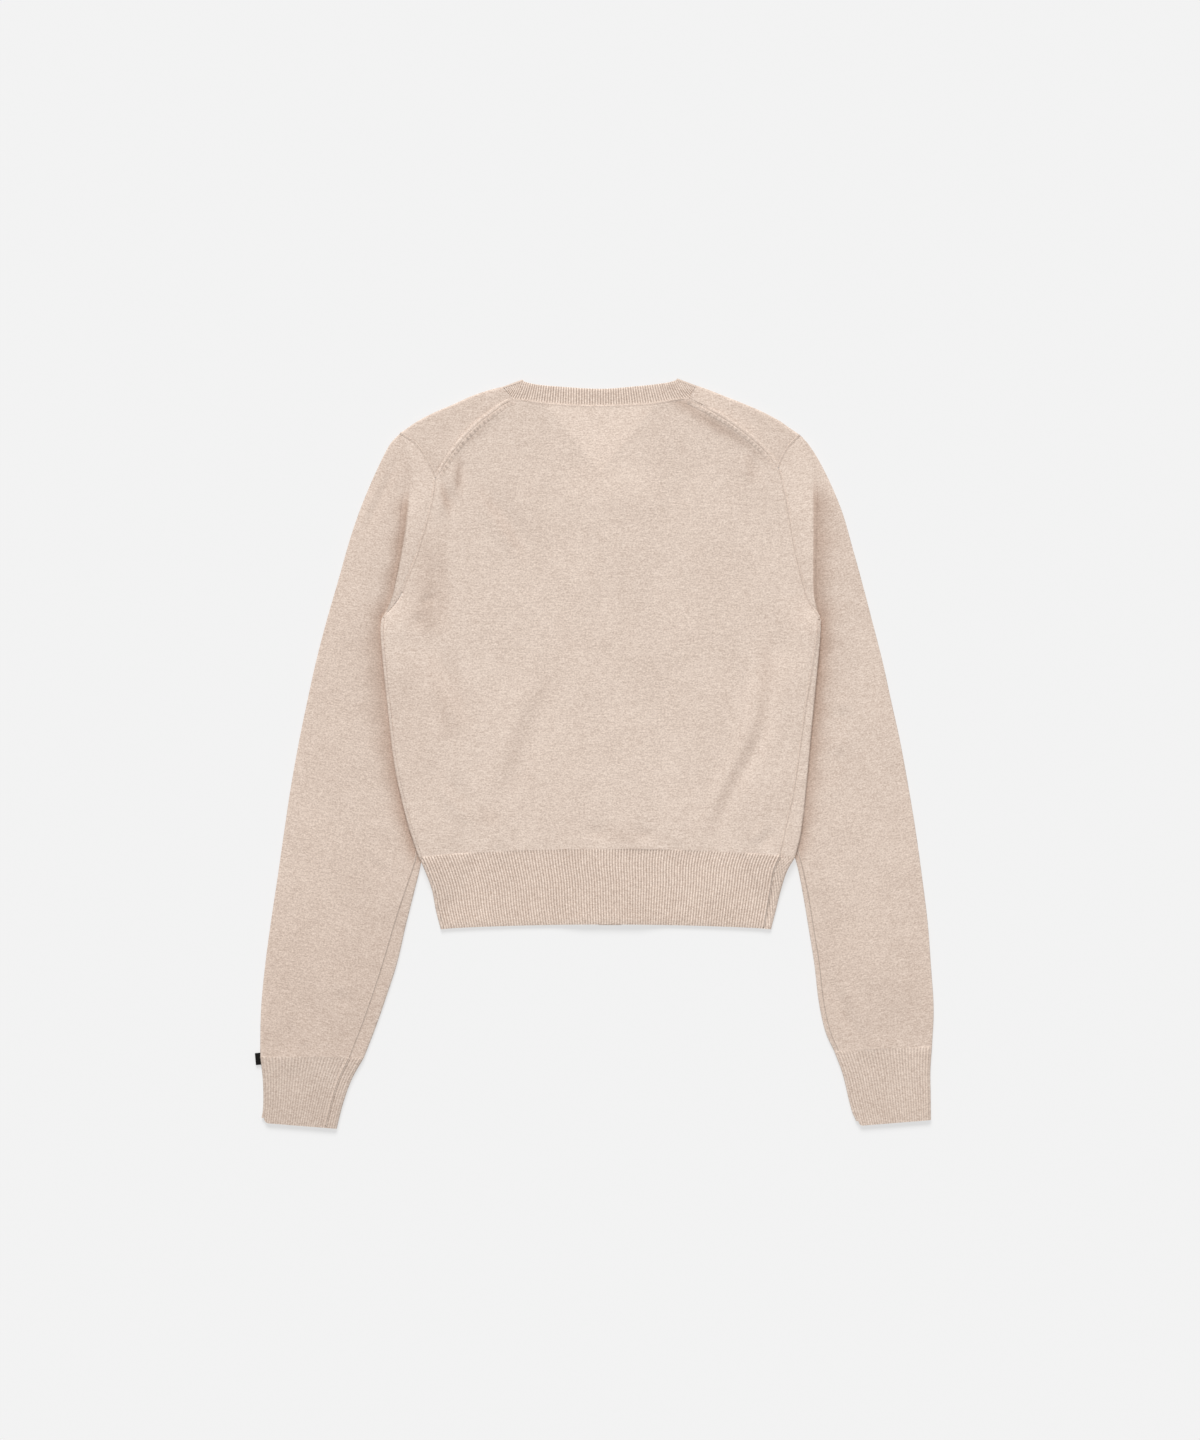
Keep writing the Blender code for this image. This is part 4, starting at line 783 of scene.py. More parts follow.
def wander(share, along, amount):
    """A small sideways wander of ribs, which no knit escapes."""
    waves = np.sin(9 * share + 3.1 * along + 0.6) + 0.6 * np.sin(23 * share - 5.3 * along)
    return amount * waves


def rib_relief(phase, full=1.0):
    """How high a rib stands over the plain cloth; full is less than 1 towards its free end."""
    return RIB_HEIGHT * rib_height(phase) * full - RIB_SINK


def rib_share(share):
    """How far a rib has risen from the jersey, along its length."""
    return ease(0, RIB_START, share)


def hem_back_point(across, down, outside):
    """A point of the back's hem: down is 0 at the jersey and 1 at the free edge."""
    ends = row_ends("hem_edge", down)
    inside_ends = np.sin(math.pi * across) ** 0.5
    x = between_seams(ends, across) + wander(across, down, 0.0004) * inside_ends * down
    y = row_y(ends, x, mix(HEM_CROWN, EDGE_CROWN, down))
    lifts = [hem_lift(side, end, np.abs(end[..., 0] - x)) for side, end in zip(SIDES, ends)]
    lift = np.where(x < CLOSING_X, *lifts)
    z = PANEL_STEP + closing_lift(x, y) + lift + HEM_EASE * ease(0, HEM_EASE, lift)
    if outside:
        full = mix(0.6, 1.0, ease(0, 0.04, 1 - down))
        z = z + CLOTH + rib_relief(across * HEM_RIBS, full) + fold_relief(HEM_FOLDS, x, y)
    return x, y, mix(back_point(across, 0 * across, outside)[2], z, rib_share(down))


def wrap_phase(side, x, y):
    """Which rib of the front's hem, counted from the side seam, lies at this place."""
    seam = ROUTES[side.name]["body_edge"].x_at_y(y) - side.sign * seam_inset(side, y)
    return side.sign * (x - seam) / RIB_PITCH


def hem_front_point(side, across, down, outside):
    """A point of a front's hem: across as for `wrap`, and down as on the back's hem."""
    ends = row_ends("hem_edge", down)
    edge = ends[SIDES.index(side)]
    depth, height = wrap(side, edge, across, outside)
    x = edge[..., 0] - side.sign * depth
    y = row_y(ends, x, mix(HEM_CROWN, EDGE_CROWN, down))
    lift = hem_lift(side, edge, np.where(across > 1, depth, 0.0))
    ribbed = rib_relief(wrap_phase(side, x, y)) * (side is RIGHT)
    top = BODY_THICKNESS + ribbed if outside else PANEL_STEP
    z = lift + np.where(across < 0, top, np.where(across > 1, 0.0 if outside else CLOTH, height))
    joined = front_point(side, across, 0 * across, outside)[2]
    return x, y, mix(joined, z, rib_share(down))


# The neckband and the front bands

def neck_top_line():
    """The neckband's upper edge, with its ends beside the folds over the shoulders."""
    corners = []
    for side, corner in ((LEFT, NECK_TOP[0]), (RIGHT, NECK_TOP[-1])):
        end = ROUTES[side.name]["shoulder_fold"].at(1.0)
        fold = np.array(corner) - end
        into = unit(np.array((fold[1], -fold[0])) * -side.sign) * (FOLD_RADIUS + SEAM_GAP)
        corners.append([end + into - (2 * side.sign * SEAM_GAP, 0.0), corner + into])
    middle = rounded([corners[0][1], *NECK_TOP[1:-1], corners[1][1]])
    return Route(np.vstack((corners[0][0], middle, corners[1][0])), corners=True)


def neck_phase(x, y):
    """Which rib of the neckband lies at this place; they fan out towards its ends."""
    places, leans = np.array(NECK_LEAN).T
    low = np.interp(x, NECK_LINE.line[:, 0], NECK_LINE.line[:, 1])
    return (x + np.interp(x, places * MM, leans) * (y - low)) / RIB_PITCH


def beside_fold(across):
    """1 where the neckband's upper edge lies along the folds over the shoulders, else 0."""
    return 1 - ease(*BESIDE_FOLD, across) * ease(*BESIDE_FOLD, 1 - across)


def neckband_point(top, across, up, outside):
    """A point of the neckband: up is 0 at its seam and 1 at its upper edge."""
    gap = SEAM_GAP * (1 - np.minimum(across * 40, 1) - np.maximum(1 - (1 - across) * 40, 0))
    low = NECK_LINE.at(across) + pair(2 * gap, 0 * gap - NECK_GAP)
    x, y = mix(low, top.at(across), column(up)).T
    z = PANEL_STEP - neck_sag(x, y)
    if outside:
        z = z + CLOTH + rib_relief(neck_phase(x, y), 1 - 0.6 * ease(0.8, 1, up))
        z = mix(z, BODY_THICKNESS - neck_sag(x, y), beside_fold(across) * ease(0.6, 1, up))
    joined = back_point(mix(NECK_START, NECK_END, across), 0 * across + 2, outside)[2]
    return x, y, mix(joined, z, ease(0, NECK_RISE, up))


def band_point(rows, smooth, across, along, outside):
    """along: 0 at the hidden side of the turn over the shoulder, 1 past it, 2 at the hem."""
    row = np.clip(along - 1, 0, 1) * (len(rows) - 1)
    seam_x, seam_y, free_x, free_y, seam_z, free_z = smooth.at(row)
    x, y = mix(seam_x, free_x, across), mix(seam_y, free_y, across)
    z = mix(seam_z, free_z, np.minimum(across / BAND_KNEE, 1.0))
    first = rows[0]
    fold = np.array((first.free_x - first.seam_x, first.free_y - first.seam_y))
    into = unit(np.array((fold[1], -fold[0])) * np.sign(fold[0]))
    radius = FOLD_RADIUS - (0.0 if outside else BAND_CLOTH)
    angle = math.pi / 2 - math.pi * np.clip(along, 0, 1)
    depth = FOLD_RADIUS - radius * np.cos(angle)
    turned = (x + into[0] * depth, y + into[1] * depth, FOLD_RADIUS + radius * np.sin(angle))
    z = np.maximum(z, 0.0) + (0.0 if outside else BAND_CLOTH)
    return [np.where(along < 1, a, b) for a, b in zip(turned, (x, y, z))]


# The sleeves and cuffs

def tube_turn(around, half, wall):
    """The folded edges of a tube: how far out and up they reach, and which points are on them.

    `around` is 0 to 1 on top, to 2 round the inner edge, to 3 below, and to 4 round the outer.
    """
    angle = np.where(around < 2.5, math.pi / 2 - math.pi * (around - 1),
                     math.pi * (around - 3) - math.pi / 2)
    turning = ((around > 1) & (around < 2)) | (around > 3)
    return (half - wall) * np.cos(angle), half + (half - wall) * np.sin(angle), turning


class Sleeve:
    """The shape of one sleeve: rings across it, counted from the armhole down to the cuff."""

    RINGS = (0.0, 0.35, 0.60, 0.80, 1.0)  # rings of the folded sleeve head, of the way to row 1
    STRIP = (0.0, 0.6, 1.0, 0.0, 0.0)  # how much of STRIP_LIFT each of them has
    LIFTS = (1.0, 0.8, 0.6, 0.45, 0.3, 0.1, 0.0)  # share of the body's lift, ring by ring
    FULL_RING = 6  # the ring at which the sleeve has its full thickness

    def __init__(self, side):
        self.side = side
        self.table = Table(side.sleeve)
        self.last = len(side.sleeve) - 1
        first = side.sleeve[0]
        self.outer = np.array((side.sign * first.outer_out, first.outer_y))
        self.inner = np.array((side.sign * first.inner_out, first.inner_y))

    def width(self, row):
        outer_out, outer_y, inner_out, inner_y, _, _ = self.table.at(row)
        return np.hypot(outer_out - inner_out, outer_y - inner_y)

    def window(self, share):
        return ease(0.2, 0.5, share) * (1 - ease(0.88, 0.98, share))

    def plan(self, row, share, footed=True):
        """A point in plan: share is 0 at the outer end of a ring and 1 at its inner end."""
        outer_out, outer_y, inner_out, inner_y, bow, _ = self.table.at(row)
        routes, sign = ROUTES[self.side.name], self.side.sign
        outer, inner = pair(sign * outer_out, outer_y), pair(sign * inner_out, inner_y)
        chord = mix(outer, inner, column(share))
        first = mix(self.outer, self.inner, column(share))
        head = routes["sleeve_fold"].at(share) - first
        seam = routes["arm"].at(1 - share) + np.array((2 * sign * SEAM_GAP, 0.0)) - first
        weight = np.where(row < 1, np.interp(row, (0.6, 1), (1, 0.85)), np.clip(bow, 0, 1))
        near = ease(0, 0.6, row)
        foot = STRIP_FOOT * self.window(share) * np.interp(row, (0.6, 0.8, 1), (0, 1, 0))
        bowed = mix(seam, head * column(weight), column(near))
        return chord + bowed + pair(sign * foot * footed, 0 * foot)

    def thickness(self, row, share):
        """Thin at the seams and under the body, fuller where the sleeve lies free."""
        ring = self.ring(row)
        free = np.clip(self.table.at(row)[5], 0.5, 1.0)
        full = np.minimum(ring / self.FULL_RING, 1.0)
        closing = 1 - 0.7 * ease(self.last - 3, self.last, row)
        crown = np.where(share < free, np.sin(math.pi * np.minimum(share / free, 1)), 0.0)
        crown = crown ** CROWN_ROUNDNESS
        height = mix(BODY_THICKNESS, SLEEVE_FLAT, full)
        height = height + (SLEEVE_FULL - SLEEVE_FLAT) * crown * full * closing
        strip = np.interp(row, self.RINGS, self.STRIP)
        return height + STRIP_LIFT * strip * self.window(share) * (row < 1)

    def ring(self, row):
        return np.where(row < 1, np.interp(row, self.RINGS, range(5)), row + 3)

    def point(self, around, row, outside):
        """A point of the tube: around as for `tube_turn`."""
        wall = 0.0 if outside else CLOTH
        radius = self.thickness(row, 0 * row) / 2
        margin = radius / self.width(row)
        share = np.where(around <= 1, around, np.where(around < 2, 1, 3 - around))
        share = np.clip(share, 0, 1)
        x, y = self.plan(row, margin + share * (1 - 2 * margin), around < 2).T
        lift = tuck_lift(x, y) * np.interp(self.ring(row), range(7), self.LIFTS)
        reach, rise, turning = tube_turn(around, radius, wall)
        end = np.where(around < 2.5, 1.0, 0.0)
        outward = unit(self.plan(row, end) - self.plan(row, np.abs(end - 0.05)))
        top = lift + self.thickness(row, share) - wall
        if outside:
            top = top + self.relief(x, y) * ease(0, 0.06, share) * ease(0, 0.06, 1 - share)
        foot = 0.0 if wall else -SLEEVE_SINK * (1 - row / self.last)
        z = np.where(around <= 1, top, lift + wall + foot)
        x, y = [np.where(turning, axis + outward[..., index] * reach, axis)
                for index, axis in enumerate((x, y))]
        return x, y, np.where(turning, lift + rise, z)

    def shade(self, x, y):
        """Painted shade on the sleeve, deeper towards its cuff and deepest in the hollow beside
        the body's edge; the folded head on top gets painted light.
        """
        routes, table = ROUTES[self.side.name], HOLLOW_SHADES[self.side.name]
        edge = np.vstack((routes["body_edge"].line, routes["sleeve_fold"].line[::-1]))
        edge = edge[np.argsort(edge[:, 1], kind="stable")]
        away = np.linalg.norm(pair(x, y)[:, None] - edge[None], axis=2).min(axis=1)
        beyond = self.side.sign * (x - np.interp(y, edge[:, 1], edge[:, 0])) > -0.0003
        heights = [spot.y * MM for spot in table]
        depth = np.interp(y, heights, [spot.depth for spot in table])
        width = np.interp(y, heights, [spot.width * MM for spot in table])
        width = width * (1 + 0.15 * np.sin(y * 2 * math.pi / 0.031))
        depth = depth * np.exp(-(away / width) ** 2) * ease(-0.125, -0.100, y)
        on_top = ~beyond & (y > routes["armhole"].line[0, 1])
        # painted shade from the light falling off towards the lower left and towards the cuff
        tone = SLEEVE_SHADE[self.side.name] + LOW_SHADE * ease(0.06, 0.24, -y)
        return np.where(on_top, -HEAD_PALE, tone + depth * beyond)

    def relief(self, x, y):
        return fold_relief(SLEEVE_FOLDS[self.side.name], x, y) + SLEEVE_WAVES * unevenness(y, x)


def cuff_point(sleeve, table, around, down, outside):
    """Around as on a sleeve; down is 0 at the sleeve and 1 at the open end."""
    side = sleeve.side
    wall = 0.0 if outside else CLOTH
    radius = CUFF_THICKNESS / 2
    outer_out, outer_y, inner_out, inner_y = table.at(down * (len(side.cuff) - 1))
    outer, inner = pair(side.sign * outer_out, outer_y), pair(side.sign * inner_out, inner_y)
    into = unit(inner - outer)
    share = np.clip(np.where(around <= 2, around, 3 - around), 0, 1)
    drift = wander(share, down, 0.0035) * np.sin(math.pi * share) * down * (around <= 1)
    x, y = mix(outer + into * radius, inner - into * radius, column(share + drift)).T
    corner = np.linalg.norm(outer - inner, axis=-1) * (share if side is LEFT else 1 - share)
    corner = 1 - np.clip(corner / CUFF_CORNER, 0, 1)
    y = y + CUFF_CORNER * (1 - np.sqrt(1 - corner ** 2)) * ease(0.8, 1, down)
    reach, rise, turning = tube_turn(around, radius, wall)
    reach = reach * np.where(around < 2.5, 1, -1) * turning
    z = np.where(around <= 1, CUFF_THICKNESS - wall, wall)
    if outside:
        rib = rib_relief(around * CUFF_RIBS, mix(0.6, 1.0, ease(0, 0.05, 1 - down)))
        z = z + CUFF_RELIEF * rib * (around <= 1)
        z = z + fold_relief(CUFF_FOLDS, x, y) * (around <= 1) * np.sin(math.pi * share) ** 0.5
    z = np.where(turning, rise, z)
    x, y = x + into[..., 0] * reach, y + into[..., 1] * reach
    joined = sleeve.point(around, 0 * down + sleeve.last, outside)
    return [mix(a, b, rib_share(down)) for a, b in zip(joined, (x, y, z))]


# Meshes

def spread(*stretches):
    """Numbers from stretches of (start, end, steps), joined end to end."""
    parts = [np.linspace(start, end, steps, endpoint=False) for start, end, steps in stretches]
    return np.concatenate((*parts, [stretches[-1][1]]))


def cloth_wall(name, node, across, along, place, knit, finish, closed=False, missing=None):
    """A thin wall of cloth in place of a node, from a grid and its copy; `place` puts both.

    `across` and `along` are the numbers of the columns and rows, and `knit` gives where each
    point lies in the knitting: metres across the wales, metres along them, and a paleness, which
    carries the ribs' painted light and shade and the painted light and shade on the jersey.
    """
    columns, rows = len(across) - 1, len(along) - 1
    wall = bmesh.new()
    bmesh.ops.create_grid(wall, x_segments=columns, y_segments=rows, size=1.0)
    column_of = wall.verts.layers.int.new("column")
    row_of = wall.verts.layers.int.new("row")
    thread = wall.verts.layers.float_vector.new("knit")
    for vert in wall.verts:
        vert[column_of] = round((vert.co.x + 1) / 2 * columns)
        vert[row_of] = round((vert.co.y + 1) / 2 * rows)
    if missing:
        gone = [face for face in wall.faces
                if missing(across[min(vert[column_of] for vert in face.verts)],
                           along[min(vert[row_of] for vert in face.verts)])]
        bmesh.ops.delete(wall, geom=gone, context="FACES")
    if closed:
        for vert in wall.verts:
            angle = 2 * math.pi * vert[column_of] / columns
            vert.co = (math.cos(angle), math.sin(angle), vert[row_of])
        bmesh.ops.remove_doubles(wall, verts=wall.verts[:], dist=0.0001)
    copied = bmesh.ops.extrude_face_region(wall, geom=wall.faces[:], use_keep_orig=True)
    outer = {item for item in copied["geom"] if isinstance(item, bmesh.types.BMVert)}
    grid_across, grid_along = [axis.ravel() for axis in np.meshgrid(across, along)]
    faces = {side: np.stack(place(grid_across, grid_along, side), axis=1)
             for side in (False, True)}
    places = np.stack(knit(grid_across, grid_along), axis=1)
    for vert in wall.verts:
        step = vert[column_of] % columns if closed else vert[column_of]
        index = vert[row_of] * (columns + 1) + step
        vert.co = faces[vert in outer][index]
        vert[thread] = places[index]
    bmesh.ops.recalc_face_normals(wall, faces=wall.faces[:])
    if wall.calc_volume(signed=True) < 0:
        bmesh.ops.reverse_faces(wall, faces=wall.faces[:])
    return finish_piece(name, wall, finish, node)


def finish_piece(name, shape, finish, node=None):
    """The piece as an object, smooth but for its sharp edges, riding with the garment."""
    bmesh.ops.translate(shape, verts=shape.verts[:], vec=(CENTRE_SHIFT, 0, 0))
    mesh = bpy.data.meshes.new(name)
    shape.to_mesh(mesh)
    shape.free()
    mesh.shade_smooth()
    mesh.set_sharp_from_angle(angle=SHARP_ANGLE)
    mesh.materials.append(finish)
    piece = bpy.data.objects.new(name, mesh)
    bpy.context.scene.collection.objects.link(piece)
    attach(piece, "root")
    if node:
        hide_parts(node)
    return piece


def seam_strip(name, line, stitches, finish, cloth=None, tone=0.0):
    """A strip of linked stitches along a line of points, lying on the cloth beside it.

    Each point is x, y, z and the cloth's slope across the line. `cloth`, where given, has the
    height of the cloth itself and how much paler it is there, painted shade included; elsewhere
    that is `tone`. `stitches` gives, for metres aside of the line and metres along it, the height
    above the cloth and the paleness, 0 to 1, which paints the stitches' light and shade.
    """
    line = np.array(line, float)
    steps = np.linalg.norm(np.diff(line[:, :3], axis=0), axis=1)
    run = np.concatenate(([0.0], np.cumsum(steps)))
    count = int(run[-1] / STRIP_STEP)
    where = np.linspace(0, run[-1], count + 1)
    path = np.stack([np.interp(where, run, axis) for axis in line.T], axis=1)
    aside = unit(np.stack((np.gradient(path[:, 1]), -np.gradient(path[:, 0])), axis=1))
    reach = np.array(stitches.reach)
    spots = path[:, None, :2] + aside[:, None] * reach[:, None]
    level = path[:, 2, None] + path[:, 3, None] * reach
    tones = level * 0 + tone
    if cloth:
        found = cloth(spots[..., 0].ravel(), spots[..., 1].ravel())
        level, tones = [values.reshape(level.shape) for values in found]
    strip = bmesh.new()
    thread = strip.verts.layers.float_vector.new("knit")
    bmesh.ops.create_grid(strip, x_segments=len(reach) - 1, y_segments=count, size=1.0)
    for vert in strip.verts:
        step = round((vert.co.y + 1) / 2 * count)
        column = round((vert.co.x + 1) / 2 * (len(reach) - 1))
        rise, pale = stitches.at(reach[column], where[step], run[-1])
        x, y = spots[step, column]
        vert.co = (x, y, level[step, column] + rise)
        vert[thread] = (x, y, pale + tones[step, column])
    bmesh.ops.solidify(strip, geom=strip.faces[:], thickness=0.0003)
    bmesh.ops.recalc_face_normals(strip, faces=strip.faces[:])
    return finish_piece(name, strip, finish)


class Stitches:
    """A row of stitches: how far it reaches aside of its line, and its shape there."""

    WIDTH, GROOVE, PITCH = 0.0026, 0.0001, 0.0018

    def __init__(self, depth, ridge=0.0003):
        self.depth, self.ridge = depth, ridge
        self.reach = [share * self.WIDTH / 2 for share in (-1, -0.6, -0.25, 0, 0.25, 0.6, 1)]

    def at(self, aside, along, length):
        """A thin groove painted dark, as shade, between two low ridges."""
        share = abs(aside) / (self.WIDTH / 2)
        loop = 0.85 + 0.15 * math.cos(2 * math.pi * along / self.PITCH)
        ridge = self.ridge * math.sin(math.pi * min(share * 0.75 + 0.25, 1)) * loop
        groove = min(1.6 * max(1 - share / 0.6, 0.0), 1.0)
        pale = PLAIN_PALE - self.depth * groove
        return ridge - self.GROOVE * groove - 0.0003 * share ** 4, pale


class Ridge(Stitches):
    """A full rounded seam, as over the shoulders."""

    WIDTH, RIDGE, PITCH = 0.0044, 0.0010, 0.0021

    def __init__(self):
        self.reach = [share * self.WIDTH / 2 for share in (-1, -0.75, -0.5, -0.25, 0, 0.25, 0.5,
                                                           0.75, 1)]

    def at(self, aside, along, length):
        share = abs(aside) / (self.WIDTH / 2)
        loop = 0.82 + 0.18 * math.cos(2 * math.pi * (along + 0.4 * aside) / self.PITCH)
        ends = min(1.0, along / 0.006, (length - along) / 0.006)
        rise = self.RIDGE * math.cos(share * math.pi / 2) * loop * ends
        # the crest painted paler as a highlight, and its flanks and the gaps between its loops
        # painted in shade
        return rise - 0.0002, PLAIN_PALE + 0.07 - 0.25 * share ** 3 - 0.2 * (1 - loop)


class Marks(Stitches):
    """The slanting marks that narrowing leaves beside a shoulder seam."""

    NEAR, FAR, PITCH = 0.0018, 0.0060, 0.0046

    def __init__(self, way, depth):
        self.way, self.depth = way, depth
        self.reach = [way * step for step in np.linspace(self.NEAR, self.FAR, 9)]

    def at(self, aside, along, length):
        share = (abs(aside) - self.NEAR) / (self.FAR - self.NEAR)
        phase = (along + self.way * 0.2 * abs(aside)) / self.PITCH
        phase = phase + 0.2 * math.sin(along * 210) + 0.12 * math.sin(along * 530)
        mark = (0.5 + 0.5 * math.cos(2 * math.pi * phase)) ** 2 * math.sin(math.pi * share) ** 0.5
        edge = 0.0005 * max(abs(2 * share - 1) * 4 - 3, 0)
        fading = 0.55 + 0.45 * math.sin(math.pi * min(along / length * 1.15, 1.0))
        # each mark is painted dark, as shade in its small dent
        return 0.0002 - edge - 0.0001 * mark, PLAIN_PALE - 0.02 - self.depth * mark * fading


# Finishes

def operation(name, swapped=False):
    """A sum of a number and another value, in this order or the other way round."""
    def made(first, second):
        return first.made(name, *((second, first) if swapped else (first, second)))
    return made


class Number:
    """A number that varies over a surface, for sums written as plain Python."""

    __add__ = __radd__ = operation("ADD")
    __mul__ = __rmul__ = operation("MULTIPLY")
    __sub__, __rsub__ = operation("SUBTRACT"), operation("SUBTRACT", swapped=True)
    __pow__ = operation("POWER")

    def __init__(self, tree, socket):
        self.tree, self.socket = tree, socket

    def made(self, name, *values):
        sockets = [value.socket if isinstance(value, Number) else value for value in values]
        node = self.tree.node("ShaderNodeMath", {"operation": name}, dict(enumerate(sockets)))
        return Number(self.tree, node.outputs[0])

    def sine(self):
        return self.made("SINE", self)

    def size(self):
        return self.made("ABSOLUTE", self)

    def fraction(self):
        return self.made("FRACT", self)

    def held(self):
        """Kept between 0 and 1."""
        return self.made("MINIMUM", self.made("MAXIMUM", self, 0.0), 1.0)


class Finish:
    """A material, and the one method that adds a node to it."""

    def __init__(self, name, **constants):
        self.material = bpy.data.materials.new(name)
        self.material.use_nodes = True
        self.tree = self.material.node_tree
        self.shader = self.tree.nodes["Principled BSDF"]
        for socket, value in constants.items():
            self.shader.inputs[socket.replace("_", " ")].default_value = value

    def node(self, kind, settings=None, inputs=None):
        node = self.tree.nodes.new(kind)
        for setting, value in (settings or {}).items():
            setattr(node, setting, value)
        for socket, value in (inputs or {}).items():
            if isinstance(value, Number):
                value = value.socket
            if isinstance(value, bpy.types.NodeSocket):
                self.tree.links.new(value, node.inputs[socket])
            else:
                node.inputs[socket].default_value = value
        return node

    def connect(self, socket, source):
        source = source.socket if isinstance(source, Number) else source
        self.tree.links.new(source, self.shader.inputs[socket])

    def knitting(self):
        """Where a point lies in the knitting: across the wales, along them, and a paleness that
        carries painted light and shade.
        """
        source = self.node("ShaderNodeAttribute", {"attribute_name": "knit"})
        parts = self.node("ShaderNodeSeparateXYZ", None, {0: source.outputs["Vector"]})
        return [Number(self, socket) for socket in parts.outputs]

    def noise(self, place, scale, detail, roughness):
        made = self.node("ShaderNodeTexNoise", {"noise_dimensions": "3D"},
                         {"Vector": place, "Scale": scale, "Detail": detail,
                          "Roughness": roughness})
        return Number(self, made.outputs["Fac"])

    def knit_noise(self, across, along, seed, detail=2.0):
        """Soft random spots, scaled by the numbers that were multiplied into its place."""
        place = self.node("ShaderNodeCombineXYZ", None, {0: across, 1: along, 2: seed})
        return self.noise(place.outputs[0], 1.0, detail, 0.6)

    def object_noise(self, scale, detail=2.0):
        place = self.node("ShaderNodeTexCoord")
        return self.noise(place.outputs["Object"], scale, detail, 0.55)

    def mixed(self, factor, first, second, way="MIX"):
        made = self.node("ShaderNodeMix", {"data_type": "RGBA", "blend_type": way},
                         {0: factor, 6: first, 7: (*second, 1.0)})
        return made.outputs[2]

    def blend(self, factor, first, second):
        return self.mixed(factor, (*first, 1.0), second)

    def shaded(self, colour, depth):
        """Painted shade: the colour turned darker and warmer, as cloth looks in a hollow."""
        return self.mixed(depth, colour, SHADE_COLOUR, "MULTIPLY")

    def scaled(self, colour, factor):
        made = self.node("ShaderNodeVectorMath", {"operation": "SCALE"}, {0: colour, 3: factor})
        return made.outputs[0]


def heather_knit(name, ribbed):
    """Fine yarn spun from pale and darker beige fibres, so no two stitches match."""
    cloth = Finish(name, Roughness=0.9, Sheen_Weight=0.12, Sheen_Roughness=0.5,
                   Specular_IOR_Level=0.15)
    across, along, rib = cloth.knitting()
    streak_across, streak_along = RIB_STREAKS if ribbed else JERSEY_STREAKS
    streaks = cloth.knit_noise(across * streak_across, along * streak_along, 1.7)
    flecks = cloth.knit_noise(across * FLECKS[0], along * FLECKS[1], 5.2, 1.0)
    cloudy = cloth.object_noise(CLOUDS)
    mottle = RIB_MOTTLE if ribbed else JERSEY_MOTTLE
    amount = 0.5 + (streaks - 0.5) * (1.2 * mottle) + (flecks - 0.5) * (2.2 * mottle)
    amount = amount + (cloudy - 0.5) * 0.3
    colour = cloth.blend(amount.held(), YARN_DARK, YARN_PALE)
    # Ribbing: crests painted paler and grooves painted darker and warmer, as light and shade fall
    # on the ribs
    if ribbed:
        colour = cloth.scaled(colour, 0.675 + 0.56 * rib)
        colour = cloth.shaded(colour, 0.25 * (1.0 - rib).held())
    # Jersey: paler above 0 (one layer, and the painted light on the folded sleeve heads), painted
    # shade below 0
    else:
        colour = cloth.scaled(colour, 1.0 + 0.065 * rib.held())
        colour = cloth.shaded(colour, (0.0 - rib).held())
    cloth.connect("Base Color", colour)
    stitch = (across * (math.pi / STITCH_WIDTH)).sine().size() ** 0.6
    slant = ((across * (1 / STITCH_WIDTH)).fraction() - 0.5).size()
    course = (along * (2 * math.pi / STITCH_HEIGHT) + slant * 6.0).sine()
    height = cloth.object_noise(FUZZ, 3.0) * 0.9 + flecks * 0.5
    height = height + (course * 0.1 if ribbed else stitch * 0.5 + course * 0.22)
    bump = cloth.node("ShaderNodeBump", None, {"Strength": 0.5, "Distance": 0.0004,
                                               "Height": height})
    cloth.connect("Normal", bump.outputs[0])
    return cloth.material


def speckled(name, roughness, shine, scale, detail, dark, pale):
    """A plain finish whose colour wavers between two tones, for the buttons and the tape."""
    finish = Finish(name, Roughness=roughness, Specular_IOR_Level=shine)
    spots_of_tone = finish.object_noise(scale, detail)
    finish.connect("Base Color", finish.blend(spots_of_tone, dark, pale))
    return finish.material


# The garment, piece by piece

def make_back(finish):
    across = spread((0, 0.004, 1), (0.004, 0.996, 190), (0.996, 1, 1))
    up = spread((0, 0.005, 1), (0.005, 1, 92), (1, 1.995, 78), (1.995, 2, 1))

    def place(u, v, outside):
        x, y, z = back_point(u, v, outside)
        return x, y, z - RIM_DROP * ((u == 0) | (u == 1)) * outside

    def knit(u, v):
        x, y = back_plan(u, v).T
        return x, y, back_pale_and_shade(x, y)
    return cloth_wall("back_panel", "back", across, up, place, knit, finish)


def make_front(side, finish):
    across = spread((-1, -0.94, 1), (-0.94, 0, 8), (0, 1, 8), (1, 1.996, 64), (1.996, 2, 1))
    up = spread((0, 0.005, 1), (0.005, 1, 60), (1, 2, 56), (2, 3, 8), (3, 3.98, 14), (3.98, 4, 1))

    def place(u, v, outside):
        x, y, z = front_point(side, u, v, outside)
        rim = ((u == -1) & (v <= 1)) | (v == 4) | ((u == 1) & (v > 3))
        return x, y, z - RIM_DROP * rim * outside

    def knit(u, v):
        x, y, _ = front_point(side, u, v, True)
        return x, y + 0.02 * (v > 2), -FLAP_TONE * ease(2, 2.6, v)
    return cloth_wall("front_panel_" + side.name, "front_" + side.name, across, up, place, knit,
                      finish, missing=lambda u, v: u < 1 and v >= 1)


def make_hem_back(finish):
    across = spread((0, 1, HEM_RIBS * RIB_STEPS))
    down = spread((0, RIB_START, 4), (RIB_START, 0.98, 14), (0.98, 1, 1))

    def place(u, v, outside):
        x, y, z = hem_back_point(u, v, outside)
        return x, y, z - HEM_DROP * (v == 1) * outside

    def knit(u, v):
        x, y, _ = hem_back_point(u, v, True)
        return x, y, mix(PLAIN_PALE, rib_height(u * HEM_RIBS), HEM_CLEAR * rib_share(v))
    return cloth_wall("hem_rib_back", "hem_back", across, down, place, knit, finish)


